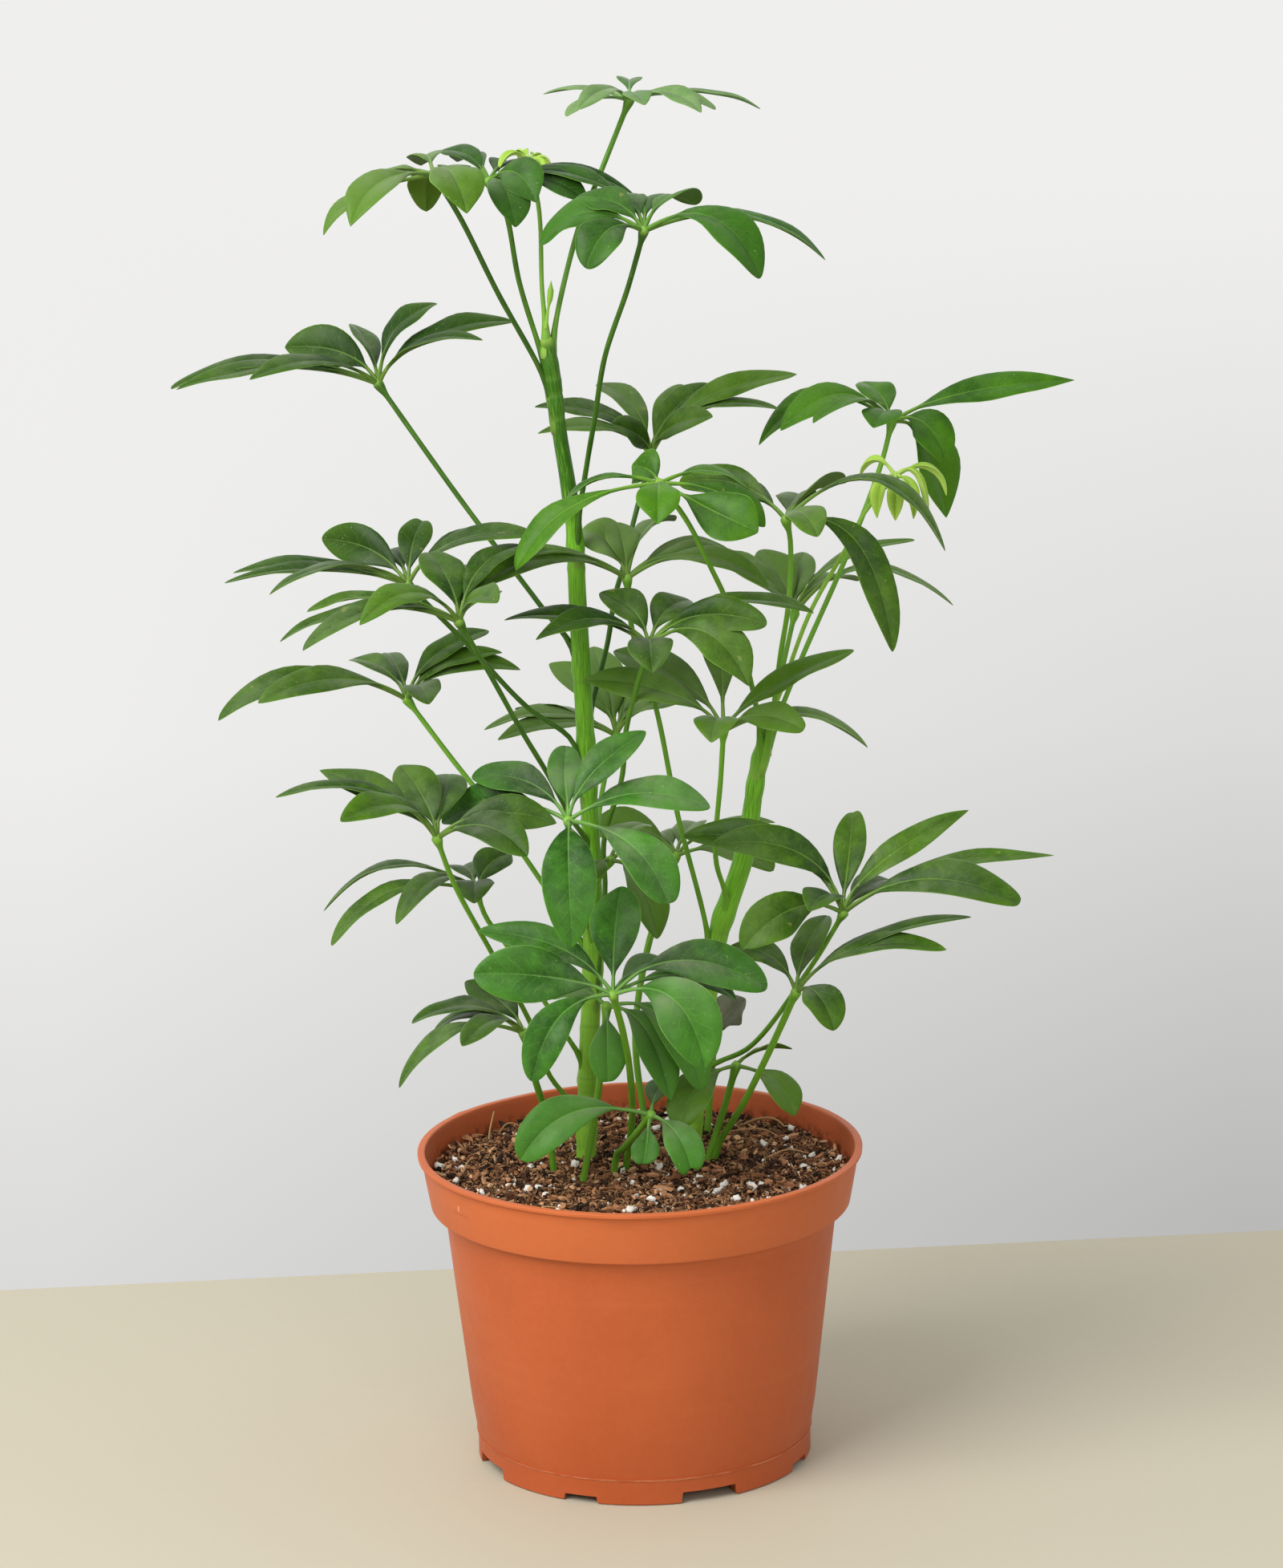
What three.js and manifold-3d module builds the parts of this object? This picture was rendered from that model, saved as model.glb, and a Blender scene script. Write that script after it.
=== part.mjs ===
// A potted umbrella plant: two leafy stems and a ring of low leaves in a terracotta-coloured nursery pot.
// Millimetres, +Z up. The origin is the centre of the pot's underside, and the front of the plant is -Y.
import * as THREE from 'three';
import { mergeVertices } from 'three/addons/utils/BufferGeometryUtils.js';
import Module from 'manifold-3d';

const wasm = await Module();
wasm.setup();

// Pot
const RIM_R = 77.5;
const POT_H = 110.8;
const POT_WALL = 1.5;
const POT_SIDES = 32;
const FOOT_R = 58.4;
const FOOT_H = 8.5;
const FOOT_WALL = 1.6;
const STEP_RISE = 1;
const WALL_FOOT_R = 59.1;
const WALL_TOP_R = 67;
const WALL_TOP_Z = 78.5;
const SHOULDER_EASE = 5;
const SHOULDER_FLARE = 0.8;
const COLLAR_R = 73;
const COLLAR_Z = 90;
const COLLAR_TOP_R = 75.2;
const COLLAR_TOP_Z = 103.5;
const LIP_R = 1.6;
const DISC_R = 40;
const CHANNEL_R = 43;
const CHANNEL_H = 4;
const FLOOR_T = 1.6;
const NOTCH_COUNT = 8;
const NOTCH_DEEP = { width: 20, height: 4 };
const NOTCH_SHALLOW = { width: 12, height: 2.5 };
const NOTCH_REACH = 5;
const DRAIN_R = 4.5;
const DRAIN_AT_R = 49.5;
const DRAIN_SIDES = 10;

// Potting mix: a low mound towards the back right, with swells and clods
const GAP = 0.3;
const MIX_Z = 101;
const MOUND = { right: 34, back: 30, spread: 30, height: 1.6 };
const SWELL = { height: 0.7, pitch: 0.12 };
const CLODS = { height: 0.5, pitch: 0.33 };
const MIX_RINGS = 5;
const HOLE_GAP = 0.45;
const HOLE_SIDES = 8;
const BURIED_Z = 86;

// Stems and leaf stalks
const STEM_SIDES = 8;
const STEM_STEPS = 2;
const STALK_SIDES = 5;
const STALK_R = 1.15;
const STALK_BASE_R = 1.9;
const STALK_FOOT = 6;
const STALK_MIX_R = 1.6;
const STALK_MIX_FOOT = 17;
const STALK_HEAD = 4;
const HUB_R = 1.8;
const HUB_RISE = 1.2;

// Leaflets
const LEAFLET_STALK = 0.2;
const LEAFLET_STALK_R = 0.7;
const LEAFLET_ROOT_R = 0.4;
const BLADE_T = 1.2;
const BLADE_FOLD = 0.22;
const BLADE_WIDEST = 1.27;
const BLADE_FULLNESS = 0.75;
const BLADE_STATIONS = [0, 0.2, 0.5, 0.84];
const ARCH = 16;
const ARCH_HANGING = 12;
const BEND_AT = 0.45;
const BEND_SHIFT = 0.6;
const BEND_RANGE = [0.1, 0.75];

const MATERIALS = {
  pot: { color: 0xc8663a, roughness: 0.5 },
  mix: { color: 0x3b2a20, roughness: 0.95 },
  stem: { color: 0x6fae35, roughness: 0.5 },
  leaf: { color: 0x3f7a35, roughness: 0.4 },
  fresh: { color: 0x5f9e35, roughness: 0.4 },
  young: { color: 0x9cc24a, roughness: 0.5 },
  dried: { color: 0x8b8f78, roughness: 0.8 },
};

// Stem routes: [right, back, up, radius], from the buried end to the top.
const STEMS = {
  stem_main: [
    [-19, 19, BURIED_Z, 3.6],
    [-19, 19, 99, 3.6],
    [-17, 18, 143, 3.4],
    [-15, 17, 178, 3.3],
    [-15, 15, 216, 3.2],
    [-16, 14, 245, 3.1],
    [-17, 12, 274, 3.1],
    [-18, 10, 303, 3],
    [-19, 8, 331, 2.8],
    [-23, 6, 362, 2.6],
    [-25, 5, 381, 2.6],
    [-27, 4, 396, 2.3],
  ],
  stem_second: [
    [18, 27, BURIED_Z, 3.6],
    [18, 27, 99, 3.6],
    [21, 26, 131, 3.8],
    [23, 26, 150, 4.4],
    [29, 25, 181, 4],
    [38, 24, 208, 4.1],
    [43, 22, 239, 3.8],
    [46, 21, 253, 3.6],
  ],
};

// Every compound leaf. root is where its stalk leaves a stem's axis, or the mix; bends lead from there to the
// hub. A leaflet is [right, back, up] from the hub to its tip, its width, its lean (how far, in degrees, the
// blade's upper face turns to the light at the front), and its arch (percent of its length, or ARCH).
const LEAVES = [
  {
    name: 'leaf_top',
    on: 'stem_main',
    root: [-26, 4, 388],
    bends: [[-15, 11, 432], [-9, 13, 446]],
    hub: [2.5, 13, 473.5],
    material: 'leaf',
    leaflets: [
      [-29, 12, 1.5, 7, 4, 9],
      [-22, -14, -4, 7.5, 9, 14],
      [-16.5, -26, 1.5, 8, 33],
      [5, -24, 1.5, 9.5, 16, 13],
      [23.5, -24, -1, 10, 12, 13],
      [29.5, -10, -3, 8.5, 7, 13],
      [44.5, 10, -4, 8, -2, 9],
      [0.5, 30, 2.5, 9, 0, 11],
    ],
  },
  {
    name: 'leaf_crown_left',
    on: 'stem_main',
    root: [-25, 5, 374],
    bends: [[-43, -2, 412], [-55, -7, 438.5]],
    hub: [-63, -10, 452.5],
    material: 'fresh',
    leaflets: [
      [-37.5, -14, -16.5, 10, 7, 12],
      [-27, -30, -11, 14.5, 30, 16],
      [-22.5, 10, -4, 12, -3, 14],
      [-5.5, 34, -1.5, 12.5, 8, 15],
      [8.5, 24, -5, 11, -10, 14],
      [11.5, -30, -8, 18.5, 13, 23],
      [-3.5, 22, -16, 12.5, -3, 27],
    ],
  },
  {
    name: 'leaf_crown_back',
    on: 'stem_main',
    root: [-26, 4, 382],
    bends: [[-35.5, 5, 413.5], [-40, 4, 439]],
    hub: [-45, 4, 448],
    material: 'fresh',
    leaflets: [
      [9, -26, -11, 15.5, -24, 23],
      [16, -20, -4, 15, 58, 24],
      [33.5, -14, -5.5, 14, 21, 14],
      [43, -8, -3.5, 14, 14, 12],
      [49, 4, -5.5, 11, 21, 12],
      [-11, 28, 4, 12.5, -3],
      [10, 31, 0, 12, 6, 13],
      [-17, 25, 7.5, 11, 13, 12],
    ],
  },
  {
    name: 'shoot_crown',
    on: 'stem_main',
    root: [-27, 4, 397],
    bends: [[-28, 6, 412], [-28.5, 13, 436.5]],
    hub: [-31.5, 17, 453],
    material: 'young',
    leaflets: [
      [-10.5, -5, -2, 4, 6, 34],
      [-3.5, 7, -0.5, 4, 2, 35],
      [3, 7, -2, 4, 6, 34],
      [7, 1, -3, 4, -4, 36],
      [4.5, -7, -4, 4, 1, 35],
      [-2, -8, -4, 4, 0, 35],
    ],
  },
  {
    name: 'leaf_crown_right',
    on: 'stem_main',
    root: [-19, 8, 324],
    bends: [[-14, 1, 351.5], [-11, -9, 369], [-7, -20, 392.5], [1, -31, 417]],
    hub: [6.5, -40, 437],
    material: 'leaf',
    leaflets: [
      [-34.5, 8, -4, 15, 33, 22],
      [-19, -16, -9.5, 16, 30, 29],
      [-22.5, 14, 9.5, 13.5, 34],
      [-7.5, 34, 4.5, 12, 0],
      [3, 36, 5.5, 13, -4, 14],
      [17.5, 26, 5, 13.5, -20, 22],
      [38, -14, -13, 17.5, 27, 30],
      [59.5, 4, -10.5, 13, 0, 16],
    ],
  },
  {
    name: 'leaf_high_left',
    on: 'stem_main',
    root: [-17, 11, 281],
    bends: [[-31.5, 16, 301], [-57.5, 23, 336]],
    hub: [-85, 30, 375.5],
    material: 'leaf',
    leaflets: [
      [-72, -6, 2, 13, 12, 11],
      [-67, -20, 3, 12, 6, 9],
      [-42, -30, 9, 11.5, 19, 12],
      [-32, 8, 12, 16.5, 66, 18],
      [-10, 30, 16, 11, -42],
      [20, 12, 26, 13.5, 1, 28],
      [46, 2, 22, 14, 23],
      [36, -18, 18.5, 12.5, 6],
    ],
  },
  {
    name: 'leaf_left_upper',
    on: 'stem_main',
    root: [-16, 14, 239],
    bends: [[-21.5, 10, 254.5], [-36, 5, 267], [-56.5, -3, 292]],
    hub: [-75, -12, 314],
    material: 'leaf',
    leaflets: [
      [-59, 2, 5, 11.5, 8, 9],
      [-60.5, -14, 5, 12, 6, 8],
      [-45, -28, 5, 12, -2, 14],
      [-30, 20, 12.5, 14, 69, 12],
      [-9, 34, 4, 12, -1],
      [5, 20, 19.5, 11.5, 31, 17],
      [38, 8, 18, 12, 13],
      [44, -12, 20, 11, 30],
    ],
  },
  {
    name: 'leaf_left_inner',
    on: 'stem_main',
    root: [-15, 15, 212],
    bends: [[-21.5, 4, 227.5], [-29, -8, 246], [-37.5, -20, 264.5], [-49, -34, 290.5]],
    hub: [-57, -45, 308],
    material: 'leaf',
    leaflets: [
      [-52.5, 6, 4, 11.5, 0, 12],
      [-58.5, -12, -2.5, 12, 2, 13],
      [-52, -26, -3, 12, 18],
      [-31, -32, 8, 12, 30, 20],
      [-10.5, 22, 20, 14.5, 2, 20],
      [1.5, 32, 13.5, 13, 0],
      [12.5, 18, 6, 13, 2],
      [20.5, 28, 20.5, 11, 20, 20],
      [13, -24, 12, 12.5, 49],
    ],
  },
  {
    name: 'leaf_left_middle',
    on: 'stem_main',
    root: [-15, 17, 172],
    bends: [[-30.5, 19, 198], [-52.5, 24, 230.5], [-63, 27, 244]],
    hub: [-78, 30, 264.5],
    material: 'leaf',
    leaflets: [
      [-67, -8, -4, 13, 27],
      [-50.5, -20, 5.5, 13.5, 29, 14],
      [-20.5, 26, 9, 11.5, 7],
      [-8, 34, 10, 9.5, 4, 12],
      [8.5, -28, 5.5, 13.5, 10, 17],
      [27.5, 18, 21, 12.5, 11, 18],
      [32.5, 6, 15, 12, 22],
      [39.5, 4, 10, 10.5, 31],
    ],
  },
  {
    name: 'leaf_middle_front',
    on: 'stem_second',
    root: [29, 25, 172],
    bends: [[15, 17, 225.5], [8, 10, 265.5], [0.5, 5, 293]],
    hub: [-1, 2, 312],
    material: 'leaf',
    leaflets: [
      [-59.5, -24, 4.5, 11, 13],
      [-52.5, -34, 5.5, 12, 30, 12],
      [-15.5, 24, 13.5, 15, 44],
      [-3, 17, 16.5, 11.5, -1, 20],
      [16.5, 28, 15.5, 13.5, -38, 22],
      [35, 26, 5, 10, 30, 12],
      [40.5, 16, 2, 11, 30],
      [48.5, 6, -4, 10.5, 30, 19],
    ],
  },
  {
    name: 'leaf_middle_low',
    on: 'stem_main',
    root: [-16, 17, 164],
    bends: [[-10.5, 12, 200], [-10.5, 9, 218.5], [-4, 2, 242], [-2, -6, 262]],
    hub: [6, -16, 292.5],
    material: 'leaf',
    leaflets: [
      [-48, 2, 9.5, 13, 14, 11],
      [-37.5, -12, 6.5, 12, 22, 20],
      [1, -26, -3, 15.5, 7, 21],
      [56, 0, 10.5, 12, 12, 19],
      [39.5, -12, 9.5, 12.5, 63],
      [33.5, -20, -9.5, 17.5, 47, 31],
      [-16, 12, 16, 14.5, 33, 22],
      [14.5, 28, 9.5, 14.5, 35],
    ],
  },
  {
    name: 'leaf_behind_main',
    on: 'stem_main',
    root: [-15, 16, 190],
    bends: [[-11.5, 46, 224.5]],
    hub: [-6, 70, 241],
    material: 'leaf',
    leaflets: [
      [-46.5, -4, 4.5, 12.5, 11, 14],
      [-41, -14, 3.5, 12, 16, 12],
      [-35.5, 14, 7.5, 15.5, -21, 9],
      [-23, 20, 22, 12.5, 45, 19],
      [-7.5, 28, 27, 16, 1],
      [18, 28, 22, 15, 0],
      [29, 2, 11.5, 12, 13, 19],
      [26, 14, 18, 12, 30],
    ],
  },
  {
    name: 'leaf_centre_front',
    on: 'stem_main',
    root: [-15, 17, 178],
    bends: [[-22, -16, 208]],
    hub: [-22, -52, 241],
    material: 'leaf',
    leaflets: [
      [-0.5, 26, 19.5, 12, 19],
      [26, 12, 27.5, 13.5, 34],
      [47, -2, 5.5, 15.5, 32, 12],
      [33.5, -26, -23.5, 17.5, 30, 20],
      [1, -28, -35.5, 18.5, -8, 34],
      [-32.5, 16, 12.5, 13, 46, 17],
      [-43.5, 22, -5, 13.5, 52, 14],
    ],
  },
  {
    name: 'leaf_back_middle',
    on: 'stem_main',
    root: [-16, 13, 254],
    bends: [[-8, 27, 285], [-5.5, 32, 299], [-2.5, 38, 308], [0.5, 44, 319.5]],
    hub: [8, 55, 344.5],
    material: 'leaf',
    leaflets: [
      [-40, 4, 18, 11.5, 24],
      [-38.5, -12, 11.5, 11.5, 13, 15],
      [-18, 20, 23, 12.5, 10, 22],
      [-13, -16, 14.5, 11.5, 58, 12],
      [12, 30, 20.5, 11, 12, 13],
      [22, 22, 22, 12, 24],
      [52.5, 6, 27, 11.5, 30, 18],
      [44, -8, 17.5, 12, 0, 20],
      [20.5, -20, 17.5, 12, 50],
    ],
  },
  {
    name: 'leaf_fresh_front',
    on: 'stem_second',
    root: [45, 21, 246],
    bends: [[41, 13, 272.5], [34, 4, 300], [27, -6, 318], [19.5, -12, 334.5]],
    hub: [10.5, -18, 348.5],
    material: 'fresh',
    leaflets: [
      [-36.5, 4, -12, 12, 5, 21],
      [-49, -12, -27.5, 12.5, 31, 18],
      [-1, -24, -8, 15, 4],
      [-9, 10, 4.5, 14, 70, 13],
      [30.5, 14, -5.5, 11, 12, 16],
      [35.5, 0, -15, 14, 27, 14],
      [32, -18, -13, 19, 64, 0],
    ],
  },
  {
    name: 'leaf_right_front',
    on: 'stem_second',
    root: [46, 21, 250],
    bends: [[51, 10, 282], [54, 4, 303], [54.5, -3, 326]],
    hub: [53, -6, 333],
    material: 'leaf',
    leaflets: [
      [-36, 20, 10, 12.5, 58, 14],
      [-25, 24, 7, 11.5, 16, 11],
      [10, -22, -0.5, 13.5, 30, 21],
      [5.5, 26, 4, 14, 6, 9],
      [21, 24, 8, 13, -43, 13],
      [54.5, -5, -10, 14, 4, 34],
      [35.5, -12, -43, 13.5, 57, 36],
    ],
  },
  {
    name: 'leaf_right_top',
    on: 'stem_second',
    root: [46, 21, 251],
    bends: [[58.5, 28, 276.5], [76, 43, 312], [88, 54, 340.5]],
    hub: [92, 60, 354],
    material: 'fresh',
    leaflets: [
      [-47, -6, -5.5, 13.5, 25, 26],
      [-39.5, -18, 1.5, 13, 40, 25],
      [-28, -24, 5, 13, 4, 21],
      [-7.5, -26, 3, 14, 6],
      [-9.5, 24, 10.5, 13.5, 17, 12],
      [63, 0, 14, 14.5, 30, 7],
      [18.5, -10, -13.5, 16.5, 47, 36],
      [20.5, 14, -36.5, 20.5, 58, 32],
    ],
  },
  {
    name: 'shoot_second',
    on: 'stem_second',
    root: [46, 21, 253.5],
    bends: [[51.5, 20, 268], [62, 18, 296.5], [75.5, 15, 321], [80.5, 15, 331]],
    hub: [91, 14, 343.5],
    material: 'young',
    leaflets: [
      [-6.5, -8, -12, 6, 10, 40],
      [-0.5, -10, -12.5, 6, 0, 35],
      [6, -6, -13.5, 6, 1, 40],
      [11, -2, -15.5, 5.5, 2, 55],
      [18, 5, -7, 5, 7, 32],
      [-12, 6, -0.5, 5, 12, 40],
    ],
  },
  {
    name: 'leaf_right_back',
    on: 'stem_second',
    root: [42, 22, 236],
    bends: [[50.5, 48, 260]],
    hub: [58, 80, 282],
    material: 'leaf',
    leaflets: [
      [-11, 20, 19.5, 14.5, 30],
      [4.5, 26, 17, 13, 2, 14],
      [44, 8, 24.5, 9, 5, 19],
      [55.5, -6, 4, 10, 6, 27],
      [-26, 6, 19.5, 11.5, 30, 12],
      [-30.5, 16, 19.5, 12, 19],
      [23, 24, 7, 12, 3, 19],
    ],
  },
  {
    name: 'leaf_back_right',
    on: 'stem_second',
    root: [31, 25, 188],
    bends: [[28, 12, 210.5], [30, 0, 243]],
    hub: [31, -6, 260],
    material: 'leaf',
    leaflets: [
      [-4.5, -26, 3.5, 15, 6, 20],
      [-47.5, 6, 18, 13, 40, 13],
      [-37, 34, 22, 15, 39, 14],
      [-1.5, 38, 30, 13, 0, 23],
      [44.5, 14, 24.5, 12.5, 20, 9],
      [28, -14, 3, 12, 43, 18],
      [49.5, 0, -6, 12, 9],
    ],
  },
  {
    name: 'leaf_low_left',
    on: 'stem_main',
    root: [-18, 19, 112],
    bends: [[-31, 11, 133.5], [-37, -4, 157], [-49.5, -20, 187], [-61, -38, 216]],
    hub: [-66, -50, 235],
    material: 'leaf',
    leaflets: [
      [-53.5, 4, 16, 12, -2, 18],
      [-39.5, 18, 21, 14.5, 22, 9],
      [-30.5, -26, 14, 14.5, 24, 22],
      [-13, 26, 20, 15, 35, 15],
      [3.5, 32, 14.5, 14.5, -8, 17],
      [30.5, -20, -1, 15, 36, 18],
      [39.5, -4, 6, 13, 55],
    ],
  },
  {
    name: 'leaf_low_left_back',
    on: 'stem_main',
    root: [-17, 18, 132],
    bends: [[-25, 13, 147.5], [-34.5, 11, 164], [-45, 11, 181], [-52, 10, 191.5]],
    hub: [-55, 10, 201],
    material: 'leaf',
    leaflets: [
      [-54, 4, -7, 12, 5, 23],
      [-49.5, -14, -15, 11, 19, 20],
      [-27, -24, -4.5, 12.5, 13, 28],
      [-6.5, 26, 2, 13, 2, 13],
      [0, -26, 3.5, 14, 1],
      [11.5, 16, 9.5, 13.5, 29, 14],
    ],
  },
  {
    name: 'leaf_low_front',
    on: 'mix',
    root: [-5, 4, 101],
    bends: [[-2.5, -4, 121.5], [-3, -27, 147], [-5, -42, 164.5]],
    hub: [-8, -58, 182],
    material: 'leaf',
    leaflets: [
      [-44.5, 12, 20, 12, 40, 13],
      [-46, -2, 9, 19.5, 65, 7],
      [-27.5, -16, -25, 14, 66, 29],
      [3, 16, 33, 17.5, 21],
      [51.5, -2, 2.5, 16, 58, 23],
      [30.5, -17, -20.5, 21, 60, 35],
      [18.5, 22, 5, 11.5, 12],
      [42.5, 12, -5.5, 10.5, 33],
    ],
  },
  {
    name: 'leaf_low_centre',
    on: 'mix',
    root: [-20, -10, 101],
    bends: [[-15.5, -11, 124], [-12.5, -15, 146.5]],
    hub: [-10.5, -18, 166.5],
    material: 'leaf',
    leaflets: [
      [-23.5, 8, 3.5, 12, 36],
      [0, -9, -25.5, 13, 20, 23],
      [21.5, -6, -31.5, 15, 51, 33],
      [33, -5, -30, 14.5, 48, 34],
    ],
  },
  {
    name: 'leaf_basal_front',
    on: 'mix',
    root: [-9, 2, 101],
    bends: [[-8, -1, 108], [-5, -8, 113]],
    hub: [4, -20, 128],
    material: 'leaf',
    leaflets: [
      [-45, -10, -12, 16, 60],
      [-3, -10, -15, 10, 0, 8],
      [14, -18, -16, 13, 0],
      [6, 16, 8, 10, 0],
    ],
  },
  {
    name: 'leaf_low_right',
    on: 'stem_second',
    root: [21, 26, 126],
    bends: [[39, 15, 141.5], [60, -12, 178]],
    hub: [70.5, -30, 201.5],
    material: 'leaf',
    leaflets: [
      [4.5, 24, 30.5, 11.5, 4],
      [43, 14, 32.5, 11, 34, 13],
      [71, 4, 18.5, 9, 21, 8],
      [60.5, -14, 6.5, 16, 40],
      [-53, 14, 24.5, 13, 49, 20],
      [-43, 0, 25.5, 13.5, 55, 25],
      [-35.5, -22, -7, 16.5, 65, 22],
      [-12, -26, 8.5, 13.5, 17, 19],
      [18, 30, 3.5, 12.5, 15, 10],
    ],
  },
  {
    name: 'leaf_basal_right',
    on: 'mix',
    root: [23, 8, 101],
    bends: [[29, 6, 120]],
    hub: [34, 4, 138],
    material: 'leaf',
    leaflets: [
      [-20, -22, -15, 15, 48],
      [19.5, -14, -13.5, 12.5, 26, 20],
      [19, 4, 5, 11, -19, 15],
    ],
  },
  {
    name: 'leaf_right_low',
    on: 'mix',
    root: [26, 14, 101],
    bends: [[28, 11, 108], [36, -3, 126], [45, -20, 150]],
    hub: [54, -36, 175.5],
    material: 'leaf',
    leaflets: [
      [59, 6, 24.5, 11.5, 6, 11],
      [52, -6, 16.5, 12, 15],
      [12.5, -20, -7.5, 15, 24, 30],
      [11.5, 24, 21, 12, 5, 18],
      [-22, 14, 13, 11.5, 24, 21],
    ],
  },
  {
    name: 'leaf_basal_left',
    on: 'mix',
    root: [-30, 2, 101],
    bends: [[-32, -4, 122], [-36, -14, 141]],
    hub: [-39, -26, 160],
    material: 'leaf',
    leaflets: [
      [-39.5, 6, 2, 12, 7, 21],
      [-31.5, 20, -5, 11.5, 20, 20],
      [-42, -16, -13.5, 11.5, 6, 24],
      [-20, -26, 3.5, 12.5, 5, 20],
      [-19.5, 20, 13, 13.5, 31, 14],
    ],
  },
  {
    name: 'leaf_centre_back',
    on: 'stem_main',
    root: [-15, 17, 184],
    bends: [[-15, 2, 201]],
    hub: [-8.5, -6, 215],
    material: 'leaf',
    leaflets: [
      [16, -22, -21, 17, -10, 30],
      [-8, -14, -4.5, 11, 4],
      [20, 14, -2, 13, 20],
      [13.5, 22, 7, 12, -3],
    ],
  },
  {
    name: 'leaf_far_back',
    on: 'mix',
    root: [2, 58, 101],
    bends: [[-1, 62, 131.5], [3.5, 66, 162]],
    hub: [14.5, 70, 196.5],
    material: 'leaf',
    leaflets: [
      [35.5, 6, 11.5, 10.5, 4, 13],
      [36, -12, -3, 13, 38, 15],
      [9, 28, 5, 12, -16, 14],
      [-7, 26, 1.5, 12, 9, 14],
      [-31, 4, 9.5, 13.5, 54, 19],
    ],
  },
  {
    name: 'leaf_dried',
    on: 'mix',
    root: [24, 42, 101],
    bends: [[25.5, 43, 119.5]],
    hub: [27, 45, 135],
    material: 'dried',
    leaflets: [
      [11, 4, 14, 13, 40],
      [-4, 6, 15, 10, 30],
    ],
  },
];

// Height of the mix's surface above or below its mean level.
function mixRelief(x, y) {
  const offset = Math.hypot(x - MOUND.right, y - MOUND.back) / MOUND.spread;
  const mound = MOUND.height * Math.exp(-offset * offset);
  const swell = SWELL.height * Math.sin(x * SWELL.pitch) * Math.cos(y * SWELL.pitch);
  const clods = CLODS.height * Math.sin((x + y / 2) * CLODS.pitch) * Math.sin((y - x / 4) * CLODS.pitch);
  return mound + swell + clods;
}

// Turns a closed geometry into a solid that can be joined and cut.
function toSolid(geometry) {
  const plain = new THREE.BufferGeometry();
  plain.setAttribute('position', geometry.getAttribute('position'));
  plain.setIndex(geometry.getIndex());
  const merged = mergeVertices(plain, 1e-4);
  return new wasm.Manifold(new wasm.Mesh({
    numProp: 3,
    vertProperties: new Float32Array(merged.getAttribute('position').array),
    triVerts: new Uint32Array(merged.getIndex().array),
  }));
}

function toGeometry(solid) {
  const mesh = solid.getMesh();
  const geometry = new THREE.BufferGeometry();
  geometry.setAttribute('position', new THREE.BufferAttribute(mesh.vertProperties, 3));
  geometry.setIndex(new THREE.BufferAttribute(mesh.triVerts, 1));
  geometry.computeVertexNormals();
  return geometry;
}

function toMesh(name, solid, material) {
  const look = new THREE.MeshStandardMaterial({ ...MATERIALS[material], metalness: 0 });
  const mesh = new THREE.Mesh(toGeometry(solid), look);
  mesh.name = name;
  return mesh;
}

function geometryFrom(points, triangles) {
  const geometry = new THREE.BufferGeometry();
  geometry.setAttribute('position', new THREE.Float32BufferAttribute(points.flatMap((p) => p.toArray()), 3));
  geometry.setIndex(triangles.flat());
  return geometry;
}

// Revolves a closed outline of [radius, height] about the Z axis.
function revolve(outline) {
  return new THREE.LatheGeometry(outline, POT_SIDES).rotateX(Math.PI / 2);
}

// The pot's inner wall, offset inwards from the outer one: [radius, height] from the floor up.
function innerWall(inset) {
  return [
    new THREE.Vector2(WALL_FOOT_R - inset, FOOT_H + STEP_RISE),
    new THREE.Vector2(WALL_TOP_R - inset, WALL_TOP_Z + STEP_RISE),
    new THREE.Vector2(COLLAR_R - inset, COLLAR_Z + STEP_RISE),
    new THREE.Vector2(COLLAR_TOP_R - inset, COLLAR_TOP_Z - STEP_RISE),
  ];
}

// The pot's cross-section: from the middle of the underside out and up to the lip, then down the inside.
function potOutline() {
  const lipZ = POT_H - LIP_R;
  const channelSlope = CHANNEL_R - DISC_R;
  const wallEase = new THREE.Vector2(WALL_TOP_R + SHOULDER_FLARE, WALL_TOP_Z + SHOULDER_EASE);
  const collarEase = new THREE.Vector2(COLLAR_R - SHOULDER_FLARE, COLLAR_Z - SHOULDER_EASE);
  const path = new THREE.Path();
  path.moveTo(0, 0);
  path.lineTo(DISC_R, 0);
  path.lineTo(CHANNEL_R, CHANNEL_H);
  path.lineTo(FOOT_R - FOOT_WALL - STEP_RISE, CHANNEL_H);
  path.lineTo(FOOT_R - FOOT_WALL, 0);
  path.lineTo(FOOT_R, 0);
  path.lineTo(FOOT_R, FOOT_H);
  path.lineTo(WALL_FOOT_R, FOOT_H + STEP_RISE);
  path.lineTo(WALL_TOP_R, WALL_TOP_Z);
  path.bezierCurveTo(...wallEase.toArray(), ...collarEase.toArray(), COLLAR_R, COLLAR_Z);
  path.lineTo(COLLAR_TOP_R, COLLAR_TOP_Z);
  path.absarc(RIM_R - LIP_R, lipZ, LIP_R, -Math.PI / 4, Math.PI, false);
  const floor = [
    new THREE.Vector2(FOOT_R - FOOT_WALL, CHANNEL_H + FLOOR_T),
    new THREE.Vector2(CHANNEL_R - channelSlope / 4, CHANNEL_H + FLOOR_T),
    new THREE.Vector2(DISC_R - channelSlope / 4, FLOOR_T),
    new THREE.Vector2(0, FLOOR_T),
  ];
  return [...path.getPoints(2), ...innerWall(POT_WALL).reverse(), ...floor];
}

// Moves a shape out from the pot's axis at a heading and a height, as a solid to be cut away.
function cutterAt(geometry, radius, z, heading) {
  return toSolid(geometry.translate(radius, 0, z).rotateZ(heading));
}

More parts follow.
